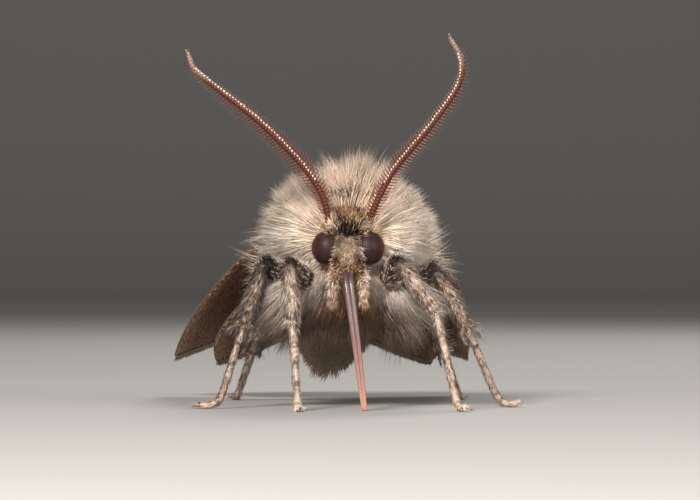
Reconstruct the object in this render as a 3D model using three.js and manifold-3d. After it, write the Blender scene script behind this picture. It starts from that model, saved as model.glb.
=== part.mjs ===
// A hairy noctuid moth, life-size, standing on a flat surface as it does while it feeds: forebody raised,
// antennae up, tongue down, wings drawn back like a shallow roof.
// Millimetres. +X is the moth's left, -Y the way it faces, +Z up, and the floor is z = 0.
import * as THREE from "three";
import { mergeVertices } from "three/addons/utils/BufferGeometryUtils.js";
import Module from "manifold-3d";

const wasm = await Module();
wasm.setup();

// ---- Driving sizes ----
const GAP = 0.3; // clear space between neighbouring pieces
const THIN = 0.25; // half of the least thickness of a wing, leg or feeler
const PITCH = THREE.MathUtils.degToRad(22); // how far the body is raised at the head
const SWING = THREE.MathUtils.degToRad(5); // how far it is swung aside behind the head
const THORAX_CENTRE = [-0.05, 3.7, 6.55];
const THORAX_CORE = [3.0, 2.8, 2.45]; // half width, length and height under the outer half of the coat
const WING_ROOT = [2.7, -1.59, 0.46]; // on the body: across, back and up from the thorax's centre
const SIDES = { right: -1, left: 1 };

const { lerp, seededRandom } = THREE.MathUtils;
const vec = (x, y, z) => new THREE.Vector3(x, y, z);
const mirrored = (side, [x, y, z]) => [side * x, y, z];
seededRandom(12); // every draw below follows from this one
const draw = (low, high) => lerp(low, high, seededRandom());

// A place given across, back along and up from the thorax's centre, on the pitched and swung body.
const onBody = (...place) => turned(...place).add(vec(...THORAX_CENTRE));
const turned = (across, back, up) =>
  vec(across, back, up).applyAxisAngle(vec(1, 0, 0), -PITCH).applyAxisAngle(vec(0, 0, 1), SWING);

// ---- Solids ----
function solidOf(geometry) {
  const bare = geometry.clone();
  bare.deleteAttribute("normal");
  bare.deleteAttribute("uv");
  const merged = mergeVertices(bare, 1e-5);
  return new wasm.Manifold(
    new wasm.Mesh({
      numProp: 3,
      vertProperties: new Float32Array(merged.attributes.position.array),
      triVerts: new Uint32Array(merged.index.array),
    }),
  );
}

const joined = (solids) => wasm.Manifold.union(solids);
const without = (solid, cutters) => solid.subtract(joined(cutters));

// The largest closed surface of a solid, so that scraps cut off by a neighbour are dropped.
function largest(solid) {
  const pieces = solid.decompose();
  return pieces.reduce((best, piece) => (piece.volume() > best.volume() ? piece : best));
}

function geometryOf(solid) {
  const mesh = solid.getMesh();
  const geometry = new THREE.BufferGeometry();
  geometry.setAttribute("position", new THREE.BufferAttribute(new Float32Array(mesh.vertProperties), 3));
  geometry.setIndex(new THREE.BufferAttribute(new Uint32Array(mesh.triVerts), 1));
  geometry.computeVertexNormals();
  return geometry;
}

// Keeps what lies ahead of a plane through a point, along a direction.
const ahead = (solid, point, direction) => {
  const n = direction.clone().normalize();
  return solid.trimByPlane(n.toArray(), n.dot(point));
};

const aboveFloor = (solid) => ahead(solid, vec(0, 0, 0), vec(0, 0, 1));

// Rings of points, each ring the same length and turning the same way, closed by a fan at both ends.
function loft(rings) {
  const sides = rings[0].length;
  const points = rings.flat();
  const faces = [];
  for (let i = 0; i + 1 < rings.length; i++)
    for (let j = 0; j < sides; j++) {
      const a = i * sides + j;
      const b = i * sides + ((j + 1) % sides);
      faces.push(a, b, b + sides, a, b + sides, a + sides);
    }
  const last = (rings.length - 1) * sides;
  for (let j = 1; j + 1 < sides; j++) {
    faces.push(0, j + 1, j);
    faces.push(last, last + j, last + j + 1);
  }
  const geometry = new THREE.BufferGeometry().setFromPoints(points);
  geometry.setIndex(faces);
  return solidOf(geometry);
}

// A round bar of changing radius along a curve. radiusAt takes the share of the length, from 0 to 1.
function bar(curve, radiusAt, steps, sides) {
  const frames = curve.computeFrenetFrames(steps);
  const rings = [];
  for (let i = 0; i <= steps; i++) {
    const centre = curve.getPointAt(i / steps);
    const radius = radiusAt(i / steps);
    const ring = [];
    for (let j = 0; j < sides; j++) {
      const turn = (2 * Math.PI * j) / sides;
      ring.push(
        centre
          .clone()
          .addScaledVector(frames.normals[i], radius * Math.cos(turn))
          .addScaledVector(frames.binormals[i], radius * Math.sin(turn)),
      );
    }
    rings.push(ring);
  }
  return loft(rings);
}

// An egg-shaped solid with half sizes along X, Y and Z.
function egg({ centre, halves, around = 16 }, grow = 0) {
  const ball = new THREE.SphereGeometry(1, around, around / 2 + 2);
  ball.scale(...halves.map((half) => half + grow));
  ball.translate(...centre);
  return solidOf(ball);
}

// Straight lines between [share, value] pairs.
function profile(pairs) {
  return (share) => {
    const next = Math.max(1, pairs.findIndex(([at]) => at >= share));
    const [a, va] = pairs[next - 1];
    const [b, vb] = pairs[next];
    return va + ((vb - va) * (share - a)) / (b - a);
  };
}

const path = (points) => new THREE.CatmullRomCurve3(points.map((p) => vec(...p)));

// ---- Locks: flat tapered strands of coat, rooted under the surface and bending along the coat's lie ----
const LONG = [[0, 0.85], [0.4, 1], [0.75, 0.7], [1, 0.14]]; // share of the length, share of the width
const SHORT = [[0, 0.9], [0.5, 1], [1, 0.14]];
const SINK = 0.35; // how deep a lock's root lies under the surface

// out is the surface's outward way and raise how far, in radians, the tip stands off the lie.
function lock({ root, out, lie, length, width, raise, shape = LONG }) {
  const leave = lie.clone().multiplyScalar(Math.cos(raise + 0.5)).addScaledVector(out, Math.sin(raise + 0.5));
  const end = lie.clone().multiplyScalar(Math.cos(raise)).addScaledVector(out, Math.sin(raise));
  const knee = root.clone().addScaledVector(leave, 0.45 * length);
  const spine = new THREE.QuadraticBezierCurve3(
    root.clone().addScaledVector(out, -SINK), knee, knee.clone().addScaledVector(end, 0.55 * length));
  const across = lie.clone().cross(out).normalize();
  const rings = shape.map(([share, wide]) => {
    const centre = spine.getPoint(share);
    const up = spine.getTangent(share).cross(across);
    const thick = share < 1 ? THIN : 0.3 * THIN;
    return [[across, width * wide / 2], [up, thick], [across, -width * wide / 2], [up, -thick]]
      .map(([way, by]) => centre.clone().addScaledVector(way, by));
  });
  return loft(rings);
}

// Points spread evenly over an egg of the given half sizes, with the way out of its surface at each.
function spread(count, halves) {
  const golden = Math.PI * (3 - Math.sqrt(5));
  return Array.from({ length: count }, (_, i) => {
    const height = 1 - (2 * i + 1) / count;
    const ring = Math.sqrt(1 - height * height);
    const on = vec(ring * Math.cos(i * golden), height, ring * Math.sin(i * golden));
    const half = vec(...halves);
    return { at: on.clone().multiply(half), out: on.divide(half).normalize() };
  });
}

// The part of a way that lies in the surface.
const alongSurface = (way, out) => way.clone().addScaledVector(out, -way.dot(out)).normalize();

// ---- Head ----
const SKULL = { centre: [0, 0.15, 6.6], halves: [1.05, 0.8, 1.1], around: 14 };
const FACE = { centre: [0, -0.32, 6.35], halves: [0.7, 0.6, 0.85], around: 12 };
const CROWN = { centre: [0, 0.02, 7.35], halves: [0.85, 0.55, 0.5], around: 12 }; // between the feelers
const MOUTH = { centre: [0, -0.5, 5.5], halves: [0.5, 0.4, 0.4], around: 8 };
const EYE = { centre: [0.8, 0.05, 6.48], halves: [0.66, 0.7, 0.7], flat: 0.55 };

function eyeSolid(side, grow = 0) {
  const ball = egg({ ...EYE, centre: mirrored(side, EYE.centre) }, grow);
  return ahead(ball, vec(side * (EYE.flat - grow), 0, 0), vec(side, 0, 0));
}

const headPieces = (grow = 0) => [SKULL, FACE, CROWN, MOUTH].map((shape) => egg(shape, grow));

// Brushes of short locks: the crown's stand up and lean forward, the face's hang down over it.
const BRUSH = { rows: 2, columns: 3, turn: 0.45, length: 0.9, width: 0.65, inset: 0.93 };
function brushLock(on, out, way, raise) {
  const root = vec(...on.centre).add(out.clone().multiply(vec(...on.halves)).multiplyScalar(BRUSH.inset));
  const length = BRUSH.length * draw(0.9, 1.1);
  return lock({ root, out, lie: alongSurface(way, out), length, width: BRUSH.width, raise, shape: SHORT });
}

function brushes() {
  const locks = [];
  for (let row = 0; row < BRUSH.rows; row++)
    for (let column = 0; column < BRUSH.columns; column++) {
      const turn = (column - (BRUSH.columns - 1) / 2) * BRUSH.turn;
      const [x, y] = [Math.sin(turn), Math.cos(turn)];
      const crown = vec(x, 0.5 * row - 0.45, y).normalize();
      const face = vec(x, -y, 0.35 - 0.6 * row).normalize();
      locks.push(brushLock(CROWN, crown, vec(x, -0.6, 0.6), 0.8));
      locks.push(brushLock(FACE, face, vec(0.4 * x, 0, -1), 0.2));
    }
  return locks;
}

// ---- Feelers, tongue and palps ----
const FEELER = {
  right: [[-0.75, -0.2, 7.5], [-1.02, -0.42, 8.55], [-1.8, -0.65, 9.75], [-3.4, -0.95, 11.4],
    [-5.33, -0.95, 12.93], [-6.12, -0.8, 13.62], [-6.4, -0.6, 14.3]],
  left: [[0.85, -0.2, 7.5], [1.1, -0.42, 8.2], [1.84, -0.65, 9.6], [3.2, -0.95, 11.25],
    [4.33, -0.95, 12.85], [4.53, -0.8, 13.9], [4.06, -0.6, 14.9]],
};

const SHAFT = profile([[0, THIN + 0.05], [0.08, THIN], [0.8, THIN], [1, 0.1]]);
const feelerBar = (points, grow = 0) => bar(path(points), (share) => SHAFT(share) + grow, 16, 7);

// The comb: a row of tapered teeth down each side, turned a little towards the tip.
const COMB = {
  teeth: 11, from: 0.1, to: 0.84, root: 0.2, tip: 0.05, lean: 0.16,
  reach: profile([[0, 0.42], [0.3, 0.52], [0.75, 0.45], [1, 0.3]]),
};
function comb(points) {
  const curve = path(points);
  const teeth = [];
  for (let i = 0; i < COMB.teeth; i++)
    for (const side of [-1, 1]) {
      const share = lerp(COMB.from, COMB.to, i / (COMB.teeth - 1));
      const centre = curve.getPointAt(share);
      const along = curve.getTangentAt(share);
      const outward = along.clone().cross(vec(0, -1, 0)).normalize().multiplyScalar(side);
      const point = centre.clone()
        .addScaledVector(outward, COMB.reach(share))
        .addScaledVector(along, COMB.lean);
      const way = point.clone().sub(centre).normalize();
      const flat = way.clone().cross(vec(0, -1, 0)).normalize();
      const deep = way.clone().cross(flat);
      const ring = (at, half) => [[1, 0], [-0.5, 0.87], [-0.5, -0.87]]
        .map(([a, b]) => at.clone().addScaledVector(flat, half * a).addScaledVector(deep, half * b));
      teeth.push(loft([ring(centre, COMB.root), ring(point, COMB.tip)]));
    }
  return teeth;
}

const TONGUE = {
  line: path([
    [0, -0.72, 5.5], [0.05, -1.25, 4.85], [0.33, -1.3, 2.7], [0.62, -1.0, 0.3], [0.66, -0.96, -0.1],
  ]),
  radius: profile([[0, THIN], [0.7, THIN], [1, 0.17]]),
};
const tongueSolid = (grow = 0) =>
  aboveFloor(bar(TONGUE.line, (share) => TONGUE.radius(share) + grow, 12, 6));

const PALP = {
  line: [[0.5, -0.35, 5.5], [0.64, -0.72, 5.0], [0.6, -0.85, 4.3]],
  radius: profile([[0, THIN], [0.5, 0.3], [1, 0.14]]),
};
const palpSolid = (side, grow = 0) =>
  bar(path(PALP.line.map((place) => mirrored(side, place))), (share) => PALP.radius(share) + grow, 4, 7);

// ---- Legs: hip, knee, ankle, heel and toe ----
const LEGS = {
  foreleg_right: [[-1.4, 1.5, 4.9], [-2.35, -0.3, 5.85], [-2.22, -0.75, 3.65], [-2.02, -1.3, 0.6], [-1.92, -2.3]],
  foreleg_left: [[1.4, 1.5, 4.9], [2.0, -0.3, 5.95], [3.5, -0.6, 3.95], [4.25, -1.2, 0.6], [4.6, -2.1]],
  midleg_right: [[-1.7, 2.9, 4.5], [-3.35, 0.7, 5.85], [-4.15, 0.95, 3.5], [-5.1, 1.2, 0.55], [-6.0, 1.2]],
  midleg_left: [[1.7, 2.9, 4.5], [3.5, 1.0, 5.6], [4.8, 1.8, 3.3], [6.0, 2.7, 0.55], [6.9, 2.9]],
  hindleg_right: [[-1.4, 4.6, 4.2], [-3.2, 6.2, 3.9], [-4.0, 8.5, 2.2], [-4.6, 10.6, 0.5], [-4.9, 11.6]],
  hindleg_left: [[1.4, 4.6, 4.2], [3.2, 6.2, 3.9], [4.0, 8.5, 2.2], [4.6, 10.6, 0.5], [4.9, 11.6]],
};
const FEMUR = profile([[0, 0.4], [0.5, 0.52], [1, 0.32]]);
const TIBIA = profile([[0, 0.28], [0.4, 0.36], [1, 0.3]]);
const TARSUS = (share) => THIN + 0.03 * Math.abs(Math.sin(5 * Math.PI * share));
const BALL = 0.14; // height of the foot's middle line under its ball and its toe, so that it stands on a flat
const TOE = 0.07;

// The way of the plane that parts two bones of a leg: it halves the angle between them.
function bend(before, at, after) {
  const along = at.clone().sub(before).normalize();
  return along.add(after.clone().sub(at).normalize()).normalize();
}

const past = (from, to, by) => to.clone().add(to.clone().sub(from).setLength(by));
const between = (solid, [from, start], [to, end], half) =>
  ahead(
    ahead(solid, from.clone().addScaledVector(start, half), start),
    to.clone().addScaledVector(end, -half), end.clone().negate());

function legParts([hipAt, kneeAt, ankleAt, heelAt, toeAt], grow = 0) {
  const [hip, knee, ankle, heel] = [hipAt, kneeAt, ankleAt, heelAt].map((place) => vec(...place));
  const toe = vec(...toeAt, TOE);
  const [atKnee, atAnkle] = [bend(hip, knee, ankle), bend(knee, ankle, heel)];
  const half = GAP / 2 - grow;
  const bone = (from, to, radius) =>
    bar(new THREE.LineCurve3(from, to), (share) => radius(share) + grow, 4, 6);
  const ball = heel.clone().lerp(toe, 0.45).setZ(BALL);
  const foot = new THREE.CatmullRomCurve3(
    [past(heel, ankle, 0.3), ankle, ankle.clone().lerp(heel, 0.5), heel, ball, toe]);
  const far = [past(heel, toe, 1), bend(heel, toe, past(heel, toe, 1))];
  const near = [past(knee, hip, 1), bend(past(knee, hip, 1), hip, knee)];
  const thigh = bone(hip, past(hip, knee, 0.4), FEMUR);
  const shin = bone(past(ankle, knee, 0.4), past(knee, ankle, 0.3), TIBIA);
  const sole = bar(foot, (share) => TARSUS(share) + grow, 9, 6);
  return {
    femur: between(thigh, near, [knee, atKnee], half),
    tibia: between(shin, [knee, atKnee], [ankle, atAnkle], half),
    tarsus: aboveFloor(between(sole, [ankle, atAnkle], far, half)),
  };
}

// ---- Wings: u runs from the root along the front edge, v towards the hind edge ----
const curve2 = (...points) => new THREE.CubicBezierCurve(...points.map(([u, v]) => new THREE.Vector2(u, v)));
const FOREWING = {
  front: curve2([0, 0], [4, -0.75], [10, -0.6], [15.5, 1.0]),
  margin: curve2([15.5, 1.0], [15.9, 2.9], [14.3, 5.3], [11.4, 6.1]),
  hind: curve2([0, 0.8], [3, 2.7], [7.4, 5.4], [11.4, 6.1]),
  camber: 0.5, veins: 6, rows: 8,
};
const HINDWING = {
  front: curve2([0, 0], [4, -0.9], [8, -0.6], [11.2, 1.2]),
  margin: curve2([11.2, 1.2], [11.6, 3.2], [9.9, 4.8], [7.4, 4.9]),
  hind: curve2([0, 0.7], [2, 2.0], [4.6, 4.2], [7.4, 4.9]),
  camber: 0.35, veins: 5, rows: 6,
};
const VEIN = 0.13; // how far a vein stands up from the membrane
const WING_TURN = [-0.3, 0.953, -0.03]; // front edge's way across, back and up in the body's own axes
const ROOF = THREE.MathUtils.degToRad(17);

// The wing's own axes: along its front edge, across to its hind edge and up from its upper face.
function wingAxes(side) {
  const along = vec(...WING_TURN).normalize();
  const level = vec(WING_TURN[1], -WING_TURN[0], 0).normalize();
  const up = level.cross(along).normalize();
  const across = along.clone().cross(up);
  across.applyAxisAngle(along, -ROOF);
  up.applyAxisAngle(along, -ROOF);
  return [along, across, up].map((axis) => turned(-side * axis.x, axis.y, axis.z));
}

// A place on the membrane: t runs out from the root and f from the front edge to the hind edge.
function onMembrane(wing, t, f) {
  const flat = wing.front.getPoint(t).lerp(wing.hind.getPoint(t), f);
  const ends = wing.margin.getPoint(0).lerp(wing.margin.getPoint(1), f);
  flat.addScaledVector(wing.margin.getPoint(f).sub(ends), t);
  return [flat.x, flat.y, wing.camber * Math.sin(Math.PI * f) * Math.sqrt(t) * (1 - 0.4 * t)];
}

// Veins are every other line of points, raised in the wing's own two faces.
function wingSolid(side, wing, root, grow) {
  const [along, across, up] = wingAxes(side);
  const columns = 2 * wing.veins;
  const wide = columns + 1;
  const points = [];
  for (let i = 0; i <= wing.rows; i++)
    for (const face of [1, -1])
      for (let j = 0; j < wide; j++) {
        const [u, v, w] = onMembrane(wing, i / wing.rows, j / columns);
        const vein = j % 2 ? 0 : face > 0 ? VEIN : VEIN / 2;
        const edge = j === 0 ? -grow : j === columns ? grow : 0;
        points.push(root.clone()
          .addScaledVector(along, u + (i === wing.rows ? grow : 0))
          .addScaledVector(across, v + edge)
          .addScaledVector(up, w + face * (THIN + grow + vein)));
      }
  const top = (i, j) => i * 2 * wide + j;
  const under = (i, j) => top(i, j) + wide;
  const faces = [];
  const quad = (a, b, c, d) => faces.push(a, b, c, a, c, d);
  for (let i = 0; i < wing.rows; i++) {
    for (let j = 0; j < columns; j++) {
      quad(top(i, j), top(i + 1, j), top(i + 1, j + 1), top(i, j + 1));
      quad(under(i + 1, j + 1), under(i + 1, j), under(i, j), under(i, j + 1));
    }
    quad(top(i, 0), under(i, 0), under(i + 1, 0), top(i + 1, 0));
    quad(top(i, columns), top(i + 1, columns), under(i + 1, columns), under(i, columns));
  }
  for (let j = 0; j < columns; j++) {
    quad(top(0, j), top(0, j + 1), under(0, j + 1), under(0, j));
    quad(top(wing.rows, j), under(wing.rows, j), under(wing.rows, j + 1), top(wing.rows, j + 1));
  }
  const geometry = new THREE.BufferGeometry().setFromPoints(points);
  geometry.setIndex(side > 0 ? faces : faces.reverse());
  return solidOf(geometry);
}

const UNDER = [2.6, 0.8, -1.1]; // the hind wing's root from the fore wing's: along, across and up
function forewing(side, grow = 0) {
  return wingSolid(side, FOREWING, onBody(...mirrored(side, WING_ROOT)), grow);
}
function hindwing(side, grow = 0) {
  const root = onBody(...mirrored(side, WING_ROOT));
  wingAxes(side).forEach((axis, i) => root.addScaledVector(axis, UNDER[i]));
  return wingSolid(side, HINDWING, root, grow);
}

// ---- Hind body: rings that bulge between their joints, and a tuft of long locks at the tail ----
const ABDOMEN = {
  from: 2.2, to: 11.2, segments: 7, sides: 12, flat: 0.8,
  width: profile([[0, 1.5], [0.3, 1.75], [0.75, 1.3], [1, 0.55]]),
  sag: profile([[0, -1.4], [1, -0.6]]), bulge: 0.06,
};
const TAIL = { share: 0.96, locks: 7, length: 1.35, width: 0.95, raise: -0.05, inset: 0.05 };

// A place on the skin of the hind body: turn 0 is its left side and a quarter turn its back.
function onAbdomen(share, turn, radius) {
  const back = lerp(ABDOMEN.from, ABDOMEN.to, share);
  const [across, up] = [Math.cos(turn), ABDOMEN.flat * Math.sin(turn)];
  return onBody(radius * across, back, ABDOMEN.sag(share) + radius * up);
}

function abdomenSolid(grow = 0) {
  const steps = 2 * ABDOMEN.segments;
  const rings = [];
  for (let i = 0; i <= steps; i++) {
    const share = i / steps;
    const radius = ABDOMEN.width(share) + (i % 2 ? 1 : -1) * ABDOMEN.bulge + grow;
    const turns = Array.from({ length: ABDOMEN.sides }, (_, j) => (-2 * Math.PI * j) / ABDOMEN.sides);
    rings.push(turns.map((turn) => onAbdomen(share, turn, radius)));
  }
  return loft(rings);
}

function tailLocks() {
  const lie = turned(0, 1, 0);
  return Array.from({ length: TAIL.locks }, (_, j) => {
    const turn = (2 * Math.PI * j) / TAIL.locks;
    const root = onAbdomen(TAIL.share, turn, ABDOMEN.width(TAIL.share) - TAIL.inset);
    const out = root.clone().sub(onAbdomen(TAIL.share, turn, 0)).normalize();
    return lock({ ...TAIL, root, out, lie: alongSurface(lie, out), length: TAIL.length * draw(0.9, 1.1) });
  });
}

// ---- Fore body ----
const COAT = {
  count: 130, length: [1.55, 1.85], width: 1.25, raise: 0.42, vary: 0.08,
  atWing: { raise: 0.8, reach: 1.1, below: 1.2 }, // it stands off more under the wing roots
  room: { hip: 0.55, waist: 1.9, wing: 0.3 }, // how far it keeps from the middle of what grows there
};
const PARTING = vec(0, 0.15, 6.9); // the coat parts behind the head and radiates from here

// The collar and the thorax are parted by a wide cone behind the head, which opens along the coat's lie.
const CONE = { tip: [0, 1.45, 7.0], slope: 0.27, radius: 5.5 };
function aheadOfCone(shift) {
  const rim = CONE.radius * CONE.slope;
  const outline = [[0, -4], [CONE.radius, -4], [CONE.radius, rim], [0, 0]];
  const cone = new THREE.LatheGeometry(outline.map(([r, y]) => new THREE.Vector2(r, y)), 28);
  cone.translate(CONE.tip[0], CONE.tip[1] + shift, CONE.tip[2]);
  return solidOf(cone);
}

// How far a place lies behind the cone.
const behindCone = ({ x, y, z }) =>
  y - CONE.tip[1] - CONE.slope * Math.hypot(x - CONE.tip[0], z - CONE.tip[2]);

// The body under the coat, turned with it.
function core(grow = 0) {
  const ball = new THREE.SphereGeometry(1, 24, 14);
  ball.scale(...THORAX_CORE.map((half) => half + grow));
  ball.rotateX(-PITCH);
  ball.rotateZ(SWING);
  ball.translate(...THORAX_CENTRE);
  return solidOf(ball);
}

function coatLocks() {
  const wings = Object.values(SIDES).map((side) => onBody(...mirrored(side, WING_ROOT)));
  const hips = Object.values(LEGS).map(([hip, knee]) => vec(...hip).lerp(vec(...knee), 0.35));
  const spots = [
    ...wings.map((spot) => [spot, COAT.room.wing]),
    ...hips.map((spot) => [spot, COAT.room.hip]),
    [onBody(0, ABDOMEN.from + 0.8, ABDOMEN.sag(0)), COAT.room.waist],
  ];
  const shoulders = wings.map((spot) => vec(spot.x, spot.y, spot.z - COAT.atWing.below));
  const near = (root) =>
    Math.max(...shoulders.map((spot) => Math.exp(-((root.distanceTo(spot) / COAT.atWing.reach) ** 2))));
  return spread(COAT.count, THORAX_CORE)
    .map(({ at, out }) => ({ root: onBody(...at), out: turned(...out) }))
    .filter(({ root }) => behindCone(root) > 0.1)
    .filter(({ root }) => spots.every(([spot, room]) => root.distanceTo(spot) > room))
    .map(({ root, out }) => lock({
      root, out, lie: alongSurface(root.clone().sub(PARTING), out),
      length: draw(...COAT.length), width: COAT.width,
      raise: COAT.raise + COAT.atWing.raise * near(root) + draw(-COAT.vary, COAT.vary),
    }));
}

// The collar: a low arch behind the head with two rows of long locks that stand up as a crest.
const COLLAR = {
  centre: [0.1, 1.3, 7.0], halves: [1.75, 0.75, 1.5],
  rows: 2, locks: 11, spread: 1.95, width: 1.1, crest: 2.4, crestWidth: 0.75, side: 1.35,
  root: { from: 1.15, inward: 0.15, ahead: 0.1, step: 0.35 },
};
function collarLocks() {
  const { centre, root: place } = COLLAR;
  const locks = [];
  for (let row = 0; row < COLLAR.rows; row++)
    for (let i = 0; i < COLLAR.locks - row; i++) {
      const share = (2 * i) / (COLLAR.locks - 1 - row) - 1;
      const turn = share * COLLAR.spread + draw(-0.05, 0.05);
      const lie = vec(Math.sin(turn), 0, Math.cos(turn));
      const root = vec(...centre).addScaledVector(lie, place.from - place.inward * row);
      root.y -= place.ahead + place.step * row;
      const crest = Math.exp(-((turn / COLLAR.crestWidth) ** 2));
      const length = lerp(COLLAR.side, COLLAR.crest - place.step * row, crest) * draw(0.92, 1.08);
      const raise = row ? -0.12 : -CONE.slope;
      locks.push(lock({ root, out: vec(0, -1, 0), lie, length, width: COLLAR.width, raise }));
    }
  return locks;
}

// ---- The model ----
const COLOURS = {
  coat: 0xb8a48c, eye: 0x2a1714, feeler: 0x6b2f22,
  tongue: 0x7d5a52, leg: 0xb99b86, wing: 0x6e5140,
};
const moth = new THREE.Group();

function piece(name, solid, colour, roughness = 0.85) {
  const material = new THREE.MeshStandardMaterial({ color: COLOURS[colour], roughness, metalness: 0 });
  const mesh = new THREE.Mesh(geometryOf(largest(solid)), material);
  mesh.name = name;
  moth.add(mesh);
}

const sides = Object.entries(SIDES);
const legs = Object.entries(LEGS).map(([name, joints]) => [name, legParts(joints)]);
const legRoom = Object.values(LEGS).flatMap((joints) => Object.values(legParts(joints, GAP)));
const wingRoom = sides.flatMap(([, side]) => [forewing(side, GAP), hindwing(side, GAP)]);
const onHead = sides.flatMap(([name, side]) =>
  [eyeSolid(side, GAP), feelerBar(FEELER[name], GAP), palpSolid(side, GAP)]);

piece("head", without(joined([...headPieces(), ...brushes()]), [...onHead, tongueSolid(GAP)]), "coat");
for (const [name, side] of sides) {
  piece("eye_" + name, eyeSolid(side), "eye", 0.3);
  piece("antenna_" + name, joined([feelerBar(FEELER[name]), ...comb(FEELER[name])]), "feeler", 0.5);
  piece("labial_palp_" + name, palpSolid(side), "coat");
}
piece("proboscis", tongueSolid(), "tongue", 0.35);

const collar = joined([egg(COLLAR), ...collarLocks()]).intersect(aheadOfCone(-GAP / 2));
piece("collar", without(collar, headPieces(GAP)), "coat");
const coat = without(joined(coatLocks()), [...wingRoom, ...legRoom, abdomenSolid(GAP)]);
piece("thorax", core().add(coat).subtract(aheadOfCone(GAP / 2)), "coat");
const hindBody = joined([abdomenSolid(), ...tailLocks()]);
piece("abdomen", without(hindBody, [core(GAP), ...wingRoom, ...legRoom]), "coat");
for (const [name, side] of sides) {
  piece("forewing_" + name, forewing(side).subtract(core(GAP)), "wing");
  piece("hindwing_" + name, hindwing(side).subtract(core(GAP)), "wing");
}
for (const [name, { femur, tibia, tarsus }] of legs) {
  piece(name + "_femur", femur.subtract(core(GAP)), "leg");
  piece(name + "_tibia", tibia, "leg");
  piece(name + "_tarsus", tarsus, "leg");
}

// The model stands with its box centred over the origin.
const middle = new THREE.Box3().setFromObject(moth).getCenter(vec(0, 0, 0));
moth.children.forEach((mesh) => mesh.geometry.translate(-middle.x, -middle.y, 0));

export default moth;
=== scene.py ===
# %% [markdown]
# # A noctuid moth at life size
# The moth stands on six feet with its tongue let down and its feelers raised. Its solids are already
# packed, so this script only gives it its looks: a skin, a coat of hairs, scaled wings and legs,
# combed feelers and faceted eyes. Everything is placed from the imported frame.

# %% Load the frame
import math
import bmesh
import bpy
import numpy as np
from mathutils import Matrix, Vector, kdtree


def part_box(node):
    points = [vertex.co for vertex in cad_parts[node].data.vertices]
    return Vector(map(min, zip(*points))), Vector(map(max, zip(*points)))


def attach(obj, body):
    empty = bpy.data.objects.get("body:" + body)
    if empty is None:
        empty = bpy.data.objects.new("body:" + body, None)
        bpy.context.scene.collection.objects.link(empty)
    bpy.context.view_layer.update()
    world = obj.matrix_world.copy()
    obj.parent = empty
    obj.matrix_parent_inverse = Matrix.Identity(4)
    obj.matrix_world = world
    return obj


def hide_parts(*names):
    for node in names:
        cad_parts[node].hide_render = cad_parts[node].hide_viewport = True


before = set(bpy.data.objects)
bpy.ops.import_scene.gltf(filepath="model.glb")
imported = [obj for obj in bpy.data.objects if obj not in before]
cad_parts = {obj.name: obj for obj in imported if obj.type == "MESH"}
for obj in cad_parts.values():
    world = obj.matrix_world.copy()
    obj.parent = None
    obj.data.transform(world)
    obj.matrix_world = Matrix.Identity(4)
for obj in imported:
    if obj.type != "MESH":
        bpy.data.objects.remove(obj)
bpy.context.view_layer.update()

# %% [markdown]
# ## A ruler on the head
# Sizes on a moth are easiest in millimetres from a point on the floor under the head. The two eyes
# show where that point is: their flat inner faces lie alike on both sides of it. x runs to the
# moth's left, y runs back along the body and z runs up.

# %% Head ruler
MM = 0.001
EYE_BACK = 0.05  # the middle of the eyes lies this far behind the ruler's zero
EYE_BOXES = [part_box("eye_left"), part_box("eye_right")]
ORIGIN = Vector((
    (EYE_BOXES[0][0].x + EYE_BOXES[1][1].x) / 2,
    (EYE_BOXES[0][0].y + EYE_BOXES[0][1].y) / 2 - EYE_BACK * MM,
    0))
TO_FRAME = Matrix.Translation(ORIGIN) @ Matrix.Scale(MM, 4)
SIDES = {"left": 1, "right": -1}
rng = np.random.default_rng(7)


def at(x, y, z):
    return TO_FRAME @ Vector((x, y, z))


def unit(v):
    return v / np.maximum(np.linalg.norm(v, axis=-1, keepdims=True), 1e-9)


def dot(a, b):
    return np.sum(a * b, axis=1, keepdims=True)


def mix(a, b, share):
    return a * (1 - share) + b * share


def peak(value, middle, width, power=2):
    """1 at the middle, falling off smoothly within the width; a higher power falls off more sharply."""
    return np.exp(-((value - middle) / width) ** power)


print("ruler zero at", [round(v / MM, 2) for v in ORIGIN], "mm in the frame")

# %% [markdown]
# ## Camera, light and floor
# The moth is looked at level with its eyes, from straight ahead and through a long lens, as a close-up
# of an insect is taken. The floor is a pale sweep that curves up far behind. Large soft lamps light it
# from above, and a weak one in front, near the floor, stands for light that a pale floor throws up.

# %% Camera and light
LENS = 218.6
SENSOR = 36
DISTANCE = 170  # mm from the eyes
EYE_LEVEL = 6.4
CAMERA_ASIDE = 0.08
AIM = (0, 3, 6)
# Each lamp's place, width in mm, power in watts, colour and aim.
LAMPS = {
    "key": ((-60, -160, 105), 50, 0.8, (1, 0.96, 0.91), AIM),
    "fill": ((130, -110, 60), 140, 0.23, (1, 0.97, 0.94), AIM),
    "bounce": ((10, -120, 14), 60, 0.05, (1, 0.95, 0.92), (0, 1, 4)),
    "rim": ((40, 130, 120), 80, 0.17, (1, 0.97, 0.93), AIM),
}


def put(name, data):
    """A new object in the scene."""
    thing = bpy.data.objects.new(name, data)
    bpy.context.collection.objects.link(thing)
    return thing


def dial(node, **values):
    """Sets a node's sockets by their names, with _ for a space."""
    for socket, value in values.items():
        node.inputs[socket.replace("_", " ")].default_value = value


camera = put("camera", bpy.data.cameras.new("camera"))
camera.data.lens = LENS
camera.data.sensor_width = SENSOR
camera.data.clip_start = 0.01
camera.data.clip_end = 10
camera.location = at(CAMERA_ASIDE, -DISTANCE, EYE_LEVEL)
camera.rotation_euler = (math.radians(90), 0, 0)
bpy.context.scene.camera = camera

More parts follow.
